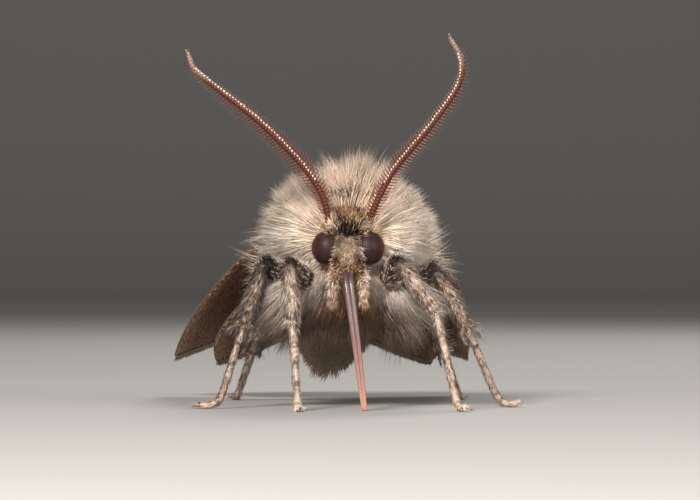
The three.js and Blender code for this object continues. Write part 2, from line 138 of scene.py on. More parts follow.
for name, (place, size, power, colour, aim) in LAMPS.items():
    light = bpy.data.lights.new(name, "AREA")
    light.shape = "DISK"
    light.size = size * MM
    light.energy = power
    light.color = colour
    lamp = put(name, light)
    lamp.location = at(*place)
    lamp.rotation_euler = (at(*aim) - at(*place)).to_track_quat("-Z", "Y").to_euler()

world = bpy.data.worlds.new("studio")
bpy.context.scene.world = world
world.use_nodes = True
dial(world.node_tree.nodes["Background"], Color=(1, 0.965, 0.93, 1), Strength=0.24)
bpy.context.scene.view_settings.view_transform = "Standard"
print("camera", DISTANCE, "mm away with", len(bpy.data.lights), "lamps")

# %% Floor
SWEEP_SIDE = 700  # half the floor's width
SWEEP_AHEAD, SWEEP_BEHIND = -260, 420
SWEEP_BEND, SWEEP_STEPS = 160, 16
SWEEP_HEIGHT = 700


def floor_sweep():
    """A straight edge drawn back along the floor, round a wide bend and up."""
    bm = bmesh.new()
    edge = bm.edges.new([bm.verts.new((x, SWEEP_AHEAD, 0)) for x in (-SWEEP_SIDE, SWEEP_SIDE)])
    path = [(SWEEP_BEHIND, 0)]
    for i in range(1, SWEEP_STEPS + 1):
        turn = math.pi / 2 * i / SWEEP_STEPS
        path.append((SWEEP_BEHIND + SWEEP_BEND * math.sin(turn), SWEEP_BEND * (1 - math.cos(turn))))
    path.append((SWEEP_BEHIND + SWEEP_BEND, SWEEP_HEIGHT))
    last = (SWEEP_AHEAD, 0)
    for place in path:
        grown = bmesh.ops.extrude_edge_only(bm, edges=[edge])["geom"]
        moved = [item for item in grown if isinstance(item, bmesh.types.BMVert)]
        bmesh.ops.translate(bm, verts=moved, vec=(0, place[0] - last[0], place[1] - last[1]))
        edge = next(item for item in grown if isinstance(item, bmesh.types.BMEdge)
                    and all(v in moved for v in item.verts))
        last = place
    return bm


def as_object(name, bm):
    """A smooth object from a shape in mm on the head ruler."""
    bmesh.ops.transform(bm, matrix=TO_FRAME, verts=bm.verts)
    mesh = bpy.data.meshes.new(name)
    bm.to_mesh(mesh)
    bm.free()
    mesh.shade_smooth()
    return put(name, mesh)


floor = as_object("floor", floor_sweep())
paper = bpy.data.materials.new("pale_paper")
paper.use_nodes = True
dial(paper.node_tree.nodes["Principled BSDF"], Base_Color=(0.27, 0.265, 0.255, 1), Roughness=0.9)
floor.data.materials.append(paper)
print("floor of", len(floor.data.polygons), "faces")

# %% [markdown]
# ## Colours
# A moth's coat is a mix of cream, sand, grey and brown scales. The same colours serve the skin and the
# hairs on it, so they are chosen by place: a list of soft spots, each with a middle, a reach and a
# colour, is laid over the cream of the coat, the later ones over the earlier ones.

# %% Colours by place
def tone(red, green, blue):
    """A colour as it is seen, 0 to 255, made linear for the shader."""
    seen = np.array([red, green, blue]) / 255
    return np.where(seen <= 0.04045, seen / 12.92, ((seen + 0.055) / 1.055) ** 2.4)


CREAM = tone(238, 213, 192)
SAND = tone(224, 192, 164)
MAUVE = tone(176, 152, 142)
DUST = tone(206, 192, 182)
UMBER = tone(100, 76, 62)
SOOT = tone(34, 24, 20)
OCHRE = tone(222, 158, 98)
RUST = tone(168, 116, 80)
BUFF = tone(196, 172, 140)

# Each spot's middle, how far it reaches each way, its colour and how strongly it covers.
SPOTS = [
    ((0.0, 9.0, 6.0), (9, 5.0, 9), BUFF, 0.8),
    ((0.0, 5.0, 9.2), (2.2, 2.0, 1.5), MAUVE, 0.6),
    ((0.0, 1.0, 3.2), (4.0, 4.5, 1.8), UMBER, 0.85),
    ((0.0, 0.6, 4.3), (1.3, 2.0, 1.3), tone(148, 106, 82), 0.75),
    # This umber layer makes the coat darker towards the bottom, partly as the underside's own brown and
    # partly as painted shade under the body.
    ((0.0, 3.0, 2.6), (9.0, 9.0, 1.2), UMBER, 0.5),
    # Painted light: the pale fur hanging on the moth's right side, below the eye and over the middle leg, is
    # its own pale grey made brighter still by DUST * 1.3 and DUST * 1.7, to lift it out of the shade it
    # hangs in.
    ((-1.6, 0.9, 4.9), (0.8, 1.6, 0.9), DUST * 1.3, 0.85),
    ((1.7, 0.9, 4.9), (0.8, 1.6, 0.9), DUST * 0.9, 0.8),
    ((-3.3, 1.2, 6.3), (1.1, 2.4, 0.8), DUST * 1.7, 0.85),
    ((-2.9, 1.2, 5.7), (1.3, 2.4, 1.2), DUST, 0.85),
    ((3.3, 1.2, 5.3), (1.3, 2.4, 1.6), DUST, 0.85),
    ((-3.7, 1.6, 4.8), (1.3, 2.6, 1.2), DUST * 0.85, 0.85),
    ((-0.7, 0.9, 3.7), (0.5, 1.2, 1.0), RUST, 0.35),
    ((0.9, 0.9, 3.6), (0.4, 1.2, 1.0), RUST, 0.25),
    ((-1.7, 0.9, 8.4), (0.9, 1.2, 0.9), MAUVE, 0.65),
    ((1.9, 0.9, 8.3), (0.9, 1.2, 0.9), MAUVE, 0.65),
    ((0.2, 1.4, 9.9), (1.9, 2.2, 1.3), tone(148, 127, 112), 0.85),
    ((-1.5, 0.3, 6.75), (0.45, 0.9, 0.8), OCHRE, 0.9),
    ((1.5, 0.3, 6.75), (0.45, 0.9, 0.8), OCHRE * 0.8, 0.9),
    ((0.0, -0.9, 6.3), (0.85, 0.8, 0.8), SAND * 0.46, 0.95),
    ((-0.56, -0.9, 6.02), (0.24, 1.0, 0.3), RUST * 0.1, 1.0),
    ((0.47, -0.9, 5.98), (0.22, 1.0, 0.28), RUST * 0.1, 1.0),
    ((0.0, -1.0, 5.5), (0.75, 0.8, 0.34), RUST * 0.24, 0.9),
    ((0.0, -0.3, 7.9), (1.5, 1.3, 1.0), tone(158, 118, 80), 0.95),
    ((0.05, -0.2, 8.35), (1.3, 1.4, 0.5), tone(86, 50, 22), 1.0),
    ((0.05, -0.6, 7.5), (1.15, 1.8, 0.8), SOOT * 0.45, 1.0),
    ((-0.5, -0.7, 6.75), (0.24, 0.8, 0.42), SOOT, 0.95),
    ((0.52, -0.7, 6.75), (0.24, 0.8, 0.42), SOOT, 0.95),
    ((-1.35, -0.3, 7.4), (0.42, 1.2, 0.5), tone(154, 122, 92), 0.9),
    ((1.35, -0.3, 7.45), (0.42, 1.2, 0.5), tone(214, 178, 144), 0.9),
    ((-0.55, -0.8, 4.8), (0.3, 0.5, 0.6), DUST * 0.5, 0.85),
    ((0.55, -0.8, 4.8), (0.3, 0.5, 0.6), DUST * 0.5, 0.85),
]


def coat_colour(places, chance=None):
    """The coat's colour at each place. With a chance for each, a hair takes a spot whole or not at all."""
    colours = np.tile(CREAM, (len(places), 1))
    for middle, reach, colour, strength in SPOTS:
        distance = np.sum(((places - middle) / reach) ** 2, axis=1)
        cover = (strength * np.exp(-distance ** 1.5))[:, None]
        if chance is not None:
            cover = np.clip(0.5 + 4 * (cover - chance), 0, 1)
        colours = mix(colours, colour, cover)
    return colours


print(len(SPOTS), "spots of colour over the coat")

# %% [markdown]
# ## Finishes
# One finish is made for each thing light meets on a moth: hairs and scales, horn, the eyes. The colours
# come from a colour attribute on the mesh, and a fine noise on top keeps them from looking painted.

# %% Finishes
GRAIN_DEPTH = 0.03  # mm


def relief(material, height, strength, depth, invert=False):
    """Lets a height raise the material's surface, by at most depth in mm."""
    nodes, links = material.node_tree.nodes, material.node_tree.links
    bump = nodes.new("ShaderNodeBump")
    bump.invert = invert
    dial(bump, Strength=strength, Distance=depth * MM)
    links.new(height, bump.inputs["Height"])
    links.new(bump.outputs["Normal"], nodes["Principled BSDF"].inputs["Normal"])


def finish_for(name, roughness, grain=0.0, grain_scale=9000, bump=0.0, **constants):
    """A material whose colour is the mesh's own "tint" with a fine grain."""
    material = bpy.data.materials.new(name)
    material.use_nodes = True
    nodes, links = material.node_tree.nodes, material.node_tree.links
    shader = nodes["Principled BSDF"]
    dial(shader, Roughness=roughness, **constants)
    tint = nodes.new("ShaderNodeAttribute")
    tint.attribute_name = "tint"
    where = nodes.new("ShaderNodeTexCoord")
    noise = nodes.new("ShaderNodeTexNoise")
    dial(noise, Scale=grain_scale, Detail=3)
    links.new(where.outputs["Object"], noise.inputs["Vector"])
    level = nodes.new("ShaderNodeMapRange")
    dial(level, To_Min=1 - grain, To_Max=1 + grain)
    links.new(noise.outputs["Fac"], level.inputs["Value"])
    scaled = nodes.new("ShaderNodeVectorMath")
    scaled.operation = "SCALE"
    links.new(tint.outputs["Color"], scaled.inputs[0])
    links.new(level.outputs["Result"], scaled.inputs["Scale"])
    links.new(scaled.outputs["Vector"], shader.inputs["Base Color"])
    if bump:
        relief(material, noise.outputs["Fac"], bump, GRAIN_DEPTH)
    return material


SKIN = finish_for("skin", 0.9, grain=0.2, bump=0.6)
HAIR = finish_for("hair", 0.6, grain=0.12, grain_scale=2500, Specular_IOR_Level=0.14)
SCALES = finish_for("scales", 0.55, grain=0.15, grain_scale=6000, Specular_IOR_Level=0.3)
print("finishes:", [m.name for m in bpy.data.materials])

# %% [markdown]
# ## The skin
# Under the coat the fore body is one smooth dome with the head before it and the ringed hind body
# behind. Balls of the right sizes are set along it, a voxel remesh joins them into one closed skin with
# no seams, and a little smoothing rounds the joins off. The body is raised at the head and swung a
# little aside, so places on it are first given along its own axes.

# %% Skin shape
THORAX = (-0.05, 3.7, 6.55)
PITCH = math.radians(-22)
SWING = math.radians(5)
BODY = (Matrix.Translation(THORAX) @ Matrix.Rotation(SWING, 4, "Z") @ Matrix.Rotation(PITCH, 4, "X"))
VOXEL = 0.1

# The middle and the half sizes of each ball. Those of the thorax are on the body's own axes.
HEAD_BALLS = [((0, 0.2, 6.6), (0.92, 0.62, 0.95)), ((0, -0.28, 6.3), (0.64, 0.54, 0.76)),
              ((0, 0.02, 7.3), (0.7, 0.42, 0.4)), ((0, -0.42, 5.55), (0.36, 0.32, 0.34))]
NECK_BALLS = [((0.05, 1.35, 6.85), (1.55, 0.75, 1.35)), ((0, 1.7, 5.3), (1.5, 1.1, 1.2))]
HIP, HIP_HALVES = (1.2, 2.1, 4.75), (0.85, 1.0, 0.9)
THORAX_BALLS = [((0, 0, 0), (2.6, 2.5, 2.05)), ((0, 1.9, -0.7), (1.7, 1.3, 1.4))]
PALP = [(0.46, -0.45, 5.45), (0.56, -0.66, 5.1), (0.6, -0.78, 4.75), (0.6, -0.82, 4.45)]
PALP_HALVES = (0.19, 0.19, 0.26)

ABDOMEN = {"from": 2.2, "to": 11.1, "segments": 7, "sag": (-1.4, -0.6), "flat": 0.82}
ABDOMEN_RADIUS = [(0, 1.35), (0.3, 1.6), (0.75, 1.15), (1, 0.5)]


def profile(stops, share):
    return np.interp(share, [s[0] for s in stops], [s[1] for s in stops])


def ball(bm, middle, halves, axes=Matrix.Identity(4)):
    shape = axes @ Matrix.Translation(middle) @ Matrix.Diagonal((*halves, 1))
    bmesh.ops.create_uvsphere(bm, u_segments=32, v_segments=20, radius=1, matrix=shape)


def abdomen_balls():
    """The middle and the half sizes of each ring of the hind body, on the body's axes."""
    reach = ABDOMEN["to"] - ABDOMEN["from"]
    high, low = ABDOMEN["sag"]
    for i in range(ABDOMEN["segments"]):
        share = (i + 0.5) / ABDOMEN["segments"]
        radius = profile(ABDOMEN_RADIUS, share)
        long = max(0.62 * reach / ABDOMEN["segments"], 0.9 * radius)
        middle = (0, ABDOMEN["from"] + share * reach, high + share * (low - high))
        yield middle, (radius, long, radius * ABDOMEN["flat"])


def body_balls():
    bm = bmesh.new()
    for middle, halves in HEAD_BALLS + NECK_BALLS:
        ball(bm, middle, halves)
    for side in (-1, 1):
        ball(bm, (side * HIP[0], *HIP[1:]), HIP_HALVES)
    for middle, halves in (*THORAX_BALLS, *abdomen_balls()):
        ball(bm, middle, halves, BODY)
    for side in (-1, 1):
        for x, y, z in PALP:
            ball(bm, (side * x, y, z), PALP_HALVES)
    return bm


def bake_modifiers(thing):
    graph = bpy.context.evaluated_depsgraph_get()
    thing.data = bpy.data.meshes.new_from_object(thing.evaluated_get(graph))
    thing.modifiers.clear()
    thing.data.shade_smooth()


skin = as_object("skin", body_balls())
remesh = skin.modifiers.new("remesh", "REMESH")
remesh.mode = "VOXEL"
remesh.voxel_size = VOXEL * MM
rounding = skin.modifiers.new("smooth", "SMOOTH")
rounding.factor = 0.5
rounding.iterations = 5
bake_modifiers(skin)
print("skin of", len(skin.data.polygons), "faces")


# %% Skin finish and place in the part
# Painted shade: the skin is made darker than the hairs, for the shade it lies in under the coat.
SKIN_PAINTED_SHADE = 0.55  # the skin between the hairs is darker than they are


def places_of(mesh):
    """The places of a mesh's points on the head ruler, in mm."""
    flat = np.empty(3 * len(mesh.vertices))
    mesh.vertices.foreach_get("co", flat)
    return (flat.reshape(-1, 3) - np.array(ORIGIN)) / MM


def dress(thing, material, colours, slot, *nodes):
    """A piece's colours and finish, its body, and the nodes of the part that it replaces. The slot argument
    is not used.
    """
    tint = thing.data.color_attributes.new("tint", "FLOAT_COLOR", "POINT")
    tint.data.foreach_set("color", np.column_stack([colours, np.ones(len(colours))]).ravel())
    thing.data.materials.append(material)
    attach(thing, "root")
    if nodes:
        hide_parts(*nodes)
    print(thing.name, len(thing.data.polygons), "faces")


dress(skin, SKIN, SKIN_PAINTED_SHADE * coat_colour(places_of(skin.data)), "coat",
      "head", "collar", "thorax", "abdomen", "labial_palp_left", "labial_palp_right")

# %% [markdown]
# ## Hairs
# A moth's hairs are long, narrow scales. Each is made as a slim closed prism of three sides that starts
# in the skin, rises from it at an angle and bends over to a point. Thousands are laid out at once with
# arrays and joined into one mesh a region, which is far faster than an object each. Neighbours are drawn
# towards the tip of a leader, because real hairs cling together in little locks.

# %% Roots on the skin
def triangles_of(mesh):
    """The mesh's triangles in an order of their own, so that each run roots the same hairs."""
    mesh.calc_loop_triangles()
    flat = np.empty(3 * len(mesh.loop_triangles), dtype=np.int64)
    mesh.loop_triangles.foreach_get("vertices", flat)
    corners = flat.reshape(-1, 3)
    corners = np.array([np.roll(corner, -corner.argmin()) for corner in corners])
    return corners[np.lexsort(corners.T[::-1])]


class Surface:
    """Triangles to root hairs on, given by points, corners and a way out for each point."""

    def __init__(self, points, triangles, outward):
        self.corners = points[triangles]
        self.outward = outward[triangles]
        edge, other = self.corners[:, 1] - self.corners[:, 0], self.corners[:, 2] - self.corners[:, 0]
        self.area = np.linalg.norm(np.cross(edge, other), axis=1) / 2
        self.middle = self.corners.mean(axis=1)

    def scatter(self, count, wanted):
        """Roots and their ways out: count of them, spread by area where wanted(place) is high."""
        weight = self.area * wanted(self.middle)
        chosen = rng.choice(len(weight), size=count, p=weight / weight.sum())
        share = np.sqrt(rng.random((count, 1)))
        along = rng.random((count, 1))
        parts = np.hstack([1 - share, share * (1 - along), share * along])[:, :, None]
        root = (self.corners[chosen] * parts).sum(axis=1)
        return root, unit((self.outward[chosen] * parts).sum(axis=1))


def skin_surface(thing):
    """The surface of a mesh, with its ways out added up from the faces round each point."""
    points, triangles = places_of(thing.data), triangles_of(thing.data)
    first, second, third = (points[triangles[:, k]] for k in range(3))
    facing = np.cross(second - first, third - first)
    outward = np.zeros_like(points)
    for k in range(3):
        np.add.at(outward, triangles[:, k], facing)
    return Surface(points, triangles, unit(outward))


def nearest_of(points, places):
    """For each place the number of the nearest of the points."""
    tree = kdtree.KDTree(len(points))
    for i, point in enumerate(points):
        tree.insert(point, i)
    tree.balance()
    return np.array([tree.find(place)[1] for place in places])


SKIN_SURFACE = skin_surface(skin)
print("skin area", round(SKIN_SURFACE.area.sum(), 1), "square mm")


# %% Hair lines
LEAN_WAVES = 6
LARGE_LOCK = 12  # how many small locks cling together in a large one
LARGE_CLING = 0.35


def sway(places, reach, seed=0):
    """A smooth field of small sideways vectors, so that neighbouring hairs lean alike."""
    waves = np.random.default_rng(100 + seed)
    total = np.zeros_like(places)
    for _ in range(LEAN_WAVES):
        way = unit(waves.normal(size=3)) / reach
        total += waves.normal(size=3) * np.sin(places @ way * 2 * math.pi + waves.random() * 7)[:, None]
    return total / 3


def along_skin(way, out):
    return unit(way - out * dot(way, out))


def hair_lines(root, out, way, length, lift, bend, steps, sunk):
    """A line along each hair. lift is its angle from the skin at the root, bend how much that changes."""
    flat = along_skin(way, out)
    line = [root - out * sunk]
    for before, after in zip(steps, steps[1:]):
        angle = (lift + bend * (before + after) / 2)[:, None]
        heading = flat * np.cos(angle) + out * np.sin(angle)
        line.append(line[-1] + heading * (length * (after - before))[:, None])
    return np.stack(line, axis=1)


def in_locks(line, root, base, tip, steps, clump, cling):
    """The lines and colours drawn towards those of a leader, in small locks and then in large ones."""
    for size, hold in ((clump, cling), (LARGE_LOCK * clump, LARGE_CLING * cling)):
        leaders = rng.choice(len(root), size=max(1, len(root) // size), replace=False)
        nearest = leaders[nearest_of(root[leaders], root)]
        pull = hold * steps[None, :, None] ** 1.3
        line = mix(line, line[nearest], pull)
        base, tip = (mix(colour, colour[nearest], hold) for colour in (base, tip))
    return line, base, tip


print("about", LARGE_LOCK, "small locks of hairs cling together in a large one")


# %% Hair meshes
LOWEST = 0.01  # no hair comes nearer to the floor than this
AROUND = [(1, -0.3), (0, 1), (-1, -0.3)]  # the three edges of a hair, aside and facing out
PATCH = (0.0015, 0.003, 0.0002)  # a hair's place on the unwrap: half its width, its length, its thickness


def hair_faces(rings):
    """The triangles of one hair: three sides from ring to ring, a point and a closed root."""
    corner = []
    for i in range(rings - 1):
        for a, b in ((0, 1), (1, 2), (2, 0)):
            corner += [(3 * i + b, 3 * i + a, 3 * i + 3 + b), (3 * i + 3 + b, 3 * i + a, 3 * i + 3 + a)]
    last = 3 * (rings - 1)
    corner += [(last + b, last + a, 3 * rings) for a, b in ((0, 1), (1, 2), (2, 0))]
    return np.array([*corner, (0, 1, 2)])


def triangle_mesh(name, points, faces):
    mesh = bpy.data.meshes.new(name)
    mesh.vertices.add(len(points))
    mesh.vertices.foreach_set("co", (points * MM + np.array(ORIGIN)).astype(np.float32).ravel())
    mesh.loops.add(faces.size)
    mesh.loops.foreach_set("vertex_index", faces.astype(np.int32).ravel())
    mesh.polygons.add(len(faces))
    mesh.polygons.foreach_set("loop_start", np.arange(0, faces.size, 3, dtype=np.int32))
    mesh.update(calc_edges=True)
    mesh.shade_smooth()
    return mesh


def hairs(name, root, out, way, length, width, lift, bend, base, tip,
          unwrap, material=None, rings=2, clump=8, cling=0.6, thick=0.45, taper=0.6, sunk=0.08):
    """Joined hairs. way is where each lies, base and tip are its colours, unwrap its root's UV place."""
    count = len(root)
    length, width, lift, bend = (np.broadcast_to(v, (count,)) for v in (length, width, lift, bend))
    steps = np.linspace(0, 1, rings + 1)
    line = hair_lines(root, out, way, length, lift, bend, steps, sunk)
    if clump > 1:
        line, base, tip = in_locks(line, root, base, tip, steps, clump, cling)
    heading = unit(line[:, -1] - line[:, 0])
    aside = unit(np.cross(heading, out))
    facing = np.cross(aside, heading)
    rows = []
    for i in range(rings):
        broad = (width * (1 - taper * (i / rings) ** 1.5) / 2)[:, None]
        rows += [line[:, i] + aside * broad * a + facing * broad * thick * f for a, f in AROUND]
    points = np.stack([*rows, line[:, -1]], axis=1).reshape(-1, 3)
    points[:, 2] = np.maximum(points[:, 2], LOWEST)
    each = 3 * rings + 1
    faces = (hair_faces(rings)[None] + each * np.arange(count)[:, None, None]).reshape(-1, 3)
    thing = put(name, triangle_mesh(name, points, faces))
    share = np.repeat(np.append(np.repeat(steps[:-1], 3), 1)[None], count, axis=0)[..., None]
    colours = mix(base[:, None], tip[:, None], share).reshape(-1, 3)
    dress(thing, material or HAIR, colours, "coat")
    patch = [(PATCH[0] * a, PATCH[1] * i / rings + PATCH[2] * f) for i in range(rings) for a, f in AROUND]
    patch = np.array([*patch, (0, PATCH[1])])
    spread = (np.column_stack(unwrap)[:, None] * 0.99 + patch[None] + 0.002).reshape(-1, 2)
    layer = thing.data.uv_layers.new(name="OFBake")
    layer.data.foreach_set("uv", spread[faces.ravel()].ravel())


def globe(places, middle):
    """Unwraps a rounded part round its long axis: a turn about it and an angle along it."""
    x, y, z = (places - middle).T
    return np.arctan2(x, z) / (2 * math.pi) + 0.5, np.arctan2(np.hypot(x, z), -y) / math.pi


def varied(count, low, high):
    return rng.uniform(low, high, count)


def shaded(colours, spread=0.18):
    """The colours, each hair a little lighter or darker than the next."""
    return colours * np.exp(np.clip(rng.normal(0, spread, (len(colours), 1)), -2 * spread, 1.3 * spread))


print("each hair has", len(hair_faces(2)), "triangles with two rings and", len(hair_faces(1)), "with one")

# %% [markdown]
# ## The coat of the fore body
# The hairs of the collar and the thorax radiate from behind the head like a ruff. Between the feelers
# they stand up straight as a crest, at the sides they lean out, and on the back and the breast they lie
# back along the body. The pale tips over darker roots give the soft, streaked look.

# %% Lie of the fore body's hairs
FAR = 99  # no limit


def along_body(places):
    """Places on the body's own axes: across, back and up from the thorax's middle."""
    turn = np.array(BODY.to_3x3())
    return (places - np.array(THORAX)) @ turn


def band(value, low, high, soft=1e-9):
    """1 between low and high, falling to 0 outside, smoothly where soft is wide."""
    rise = np.clip((value - low) / soft + 0.5, 0, 1)
    fall = np.clip((high - value) / soft + 0.5, 0, 1)
    return rise * rise * (3 - 2 * rise) * fall * fall * (3 - 2 * fall)


def area(across=(-FAR, FAR), back=(-FAR, FAR), up=(-FAR, FAR)):
    """The skin between limits on how far from the middle, back and up it lies, and how soft they are."""
    def wanted(places):
        x, y, z = places.T
        return band(np.abs(x), *across) * band(y, *back) * band(z, *up)
    return wanted


def ruff_way(places):
    """Away from a point in the neck that is lower for the crest, so that it stands straighter."""
    x, y, z = places.T
    crest = peak(x, 0, 1.3) * np.clip((z - 7.2) / 0.8, 0, 1)
    neck = np.column_stack([0.04 + 0 * x, np.clip(y - 0.75, 0.2, 1.4), 6.9 - 2.2 * crest])
    hang = 0.65 * np.clip((5.4 - z) / 1.6, 0, 1)[:, None]
    fan = mix(unit(places - neck), np.array((0, 0.25, -1)), hang)
    drape = (0.9 * band(z, 4.2, 6.6, 0.9) * (np.abs(x) > 1.4))[:, None]
    fan = unit(fan) + drape * np.column_stack([0.75 * np.sign(x), 0 * y, 0 * z - 0.75])
    calm = np.clip((3.4 - y) / 2.5, 0.3, 1)[:, None]
    return unit(unit(fan) + 0.35 * calm * sway(places, 1.1))


def gain(places):
    """How much longer hairs are in the notched crest between the feelers and low on the shoulders."""
    x, y, z = places.T
    ridge = 0.6 * peak(x, 0.2, 0.35) + 0.8 * peak(x, 0.95, 0.28) + 0.4 * peak(x, -0.5, 0.8)
    low = 0.7 * band(z, 4.2, 6.3, 0.8) * (np.abs(x) > 1.4)
    high = 0.26 * band(z, 6.6, 9.2, 1.0) * np.clip((np.abs(x - 0.1) - 0.8) / 0.6, 0, 1)
    return 1 + ridge * np.clip((z - 7.4) / 0.6, 0, 1) * band(y, 0, 3.0, 0.8) + low + high


CREST = np.array([(x, 1.4, 8.6) for x in (-0.5, 0.2, 0.95)])
print("the crest's hairs are", gain(CREST).round(2), "times as long as the others")

# %% Coat of the ruff, the back and the breast
STREAKED = 0.2  # share of the hairs with a dark tip
STREAK_SHADE = 0.4
PALE_TIP = 1.12
PALEST = 0.95


def fore_coat(name, count, wanted, length, lift, short=0.6, width=0.038, dark=0.55, way=ruff_way):
    """A region's hairs. short is the least share of the length, dark the shade of the roots."""
    root, out = SKIN_SURFACE.scatter(count, wanted)
    patch = np.clip(0.5 + 0.9 * sway(root, 1.6, 5)[:, :1], 0, 1)
    colour = shaded(coat_colour(root + 0.6 * length * way(root)) * (0.86 + 0.18 * patch), 0.32)
    tip = np.minimum(PALE_TIP * colour, PALEST)
    streak = rng.random(count) < STREAKED
    tip[streak] *= STREAK_SHADE
    hairs(name, root, out, way(root) + 0.14 * rng.normal(size=(count, 3)),
          length * varied(count, short, 1.12) * gain(root), width * varied(count, 0.7, 1.25),
          lift + varied(count, -0.15, 0.15), -0.25 + varied(count, -0.2, 0.1),
          dark * colour, tip, globe(root, THORAX), cling=0.62)


def region(low, high, side=0):
    """The part of the fore body whose turn about the long axis, from the back, lies between two angles,
    on one side of it or on both."""
    def wanted(places):
        free = (places[:, 1] > 0.75) * (along_body(places)[:, 1] < 2.9)
        turn = np.abs(np.arctan2(places[:, 0] - THORAX[0], places[:, 2] - THORAX[2]))
        return free * (turn >= low) * (turn < high) * (side * places[:, 0] >= side * THORAX[0])
    return wanted


fore_coat("coat_back", 12200, region(0, 0.75), 1.75, 0.5)
fore_coat("coat_side_left", 15000, region(0.75, 2.2, 1), 1.65, 0.72)
fore_coat("coat_side_right", 15000, region(0.75, 2.2, -1), 1.65, 0.72)
fore_coat("coat_breast", 11000, region(2.2, 3.2), 1.8, 0.4)
fore_coat("coat_collar", 11400, area(back=(0.7, 1.7, 0.25), up=(6.2, FAR)), 1.9, 0.6, short=0.3, dark=0.9)

# %% [markdown]
# ## Shoulders, breast front and nape
# A few hairs have a lie of their own. Long pale ones hang from the shoulders over the middle legs, short
# dark ones hang over the roots of the forelegs, others cover the nape, where the ruff's hairs turn from
# front to back, and single long wisps stand off the sides.

# %% Shoulders, breast front, nape and wisps
# Each shoulder's side, least distance from the middle, height, depth, heading, number and length.
SHOULDERS = {
    "left": (1, 1.9, (5.3, 7.1, 0.5), (0.4, 2.4, 0.4), (0.8, -0.5, -0.45), 4000, 2.0),
    "right": (-1, 1.2, (4.7, 6.5, 0.4), (1.4, 4.4, 0.4), (-0.8, 0.1, -0.6), 3700, 1.7),
}


def shoulder(side, least, high, deep, heading):
    """Where a shoulder's hairs are rooted, and which way they hang."""
    def wanted(places):
        return (side * places[:, 0] > 0) * area((least, FAR), deep, high)(places)

    def way(places):
        return unit(np.array(heading) + 0.3 * sway(places, 1.1, 2))
    return wanted, way


def apron_way(places):
    """Down and a little forward and outwards."""
    heading = np.column_stack([0.3 * np.sign(places[:, 0]), 0 * places[:, 1] - 0.35, 0 * places[:, 2] - 0.9])
    return unit(heading + 0.25 * sway(places, 0.9, 4))


def nape_way(places):
    """Backwards and a little up."""
    return unit((0, 1, 0.25) + places * (0.12, 0, 0) + 0.25 * sway(places, 1.0, 7))


def on_wisps(places):
    return region(1.0, 2.0)(places) * area(back=(-FAR, 4), up=(4.8, 7.4, 0.25))(places)


for name, (*sort, count, length) in SHOULDERS.items():
    wanted, way = shoulder(*sort)
    fore_coat("coat_shoulder_" + name, count, wanted, length, 0.6, way=way)
fore_coat("coat_apron", 3200, area((0.7, 1.9, 0.2), (0.6, 1.9), (4.9, 5.9, 0.2)), 1.25, 0.5,
          way=apron_way, dark=0.4)
fore_coat("coat_nape", 2500, area((0.8, 2.8, 0.3), (1.7, 4.0, 0.4), (7.4, FAR)), 1.6, 0.55, way=nape_way)
fore_coat("coat_wisps", 260, on_wisps, 2.3, 0.7, width=0.026, dark=0.8)

# %% [markdown]
# ## The coat of the head
# The face between the eyes is a tuft of short sandy scales that point down and forward. Above it a brush
# stands on the crown between the feelers, each of its hairs black, brown or golden as a whole, and short
# ochre hairs ring the eyes. Some hairs anywhere on the head end in a pale speck.

# %% Coat of the head
SPECK = tone(212, 174, 130)
HEAD_MIDDLE = (0, 0.2, 6.6)


def head_coat(name, count, wanted, way, length, lift, width, spread,
              colour=None, speck=0.15, curl=0.5, uneven=0.45, whole=False):
    """An area's hairs. spread scatters their ways, speck is the share of pale tips, curl how much they
    bend and uneven how much their shades differ. With whole each takes a spot's colour fully or not."""
    root, out = SKIN_SURFACE.scatter(count, wanted)
    heading = unit(way(root)) + spread * rng.normal(size=(count, 3))
    rising = along_skin(heading, out) * math.cos(lift) + out * math.sin(lift)
    reached = root + 0.8 * length * rising
    chance = varied(count, 0.15, 0.85)[:, None] if whole else None
    laid = coat_colour(reached, chance) if colour is None else np.tile(colour, (count, 1))
    laid = shaded(laid, uneven)
    tip = np.minimum(PALE_TIP * laid, PALEST)
    tip[rng.random(count) < speck] = SPECK
    hairs(name, root, out, heading, length * varied(count, 0.6, 1.15), width * varied(count, 0.7, 1.2),
          lift + varied(count, -0.3, 0.3), varied(count, -1.2, 0.4) * curl,
          0.5 * laid, tip, globe(root, HEAD_MIDDLE), clump=5, cling=0.5)


def in_face_spots(p):
    """Two small spots low on the face, one by each eye."""
    return (np.hypot((np.abs(p[:, 0]) - 0.5) / 0.12, (p[:, 2] - 6.04) / 0.2) < 1) * (p[:, 1] < 0)


# After each area and way come the hairs' length, lift, width and spread.
head_coat("coat_face", 4500, area((-1, 0.75), (-FAR, 0.1), (5.3, 7.15, 0.2)),
          lambda p: (p - (0, 0, 6.4)) * (1.0, 0, 0.7) + (0, -0.3, -0.62),
          0.38, 0.6, 0.048, 0.6, speck=0.1, curl=1.2, uneven=0.6)
head_coat("coat_cheeks", 1500, area((0.35, 0.75), (-FAR, 0.1), (5.3, 7.15, 0.2)),
          lambda p: p * (2, 0, 0.1) + (0, -0.4, -0.8),
          0.5, 0.5, 0.045, 0.35, speck=0.05)
head_coat("coat_face_spots", 420, in_face_spots, lambda p: p * (0.3, 0, 0) + (0, -0.5, -0.4),
          0.34, 1.0, 0.055, 0.4, colour=tone(78, 38, 20), speck=0)
head_coat("coat_chin", 1300, area((-1, 0.6), (-FAR, 0), (5.2, 5.85, 0.1)),
          lambda p: p * (0.8, 0, 0) + (0, -0.7, -0.6),
          0.52, 0.8, 0.055, 0.6, colour=tone(88, 54, 36), speck=0.3, curl=1.5, uneven=0.6)
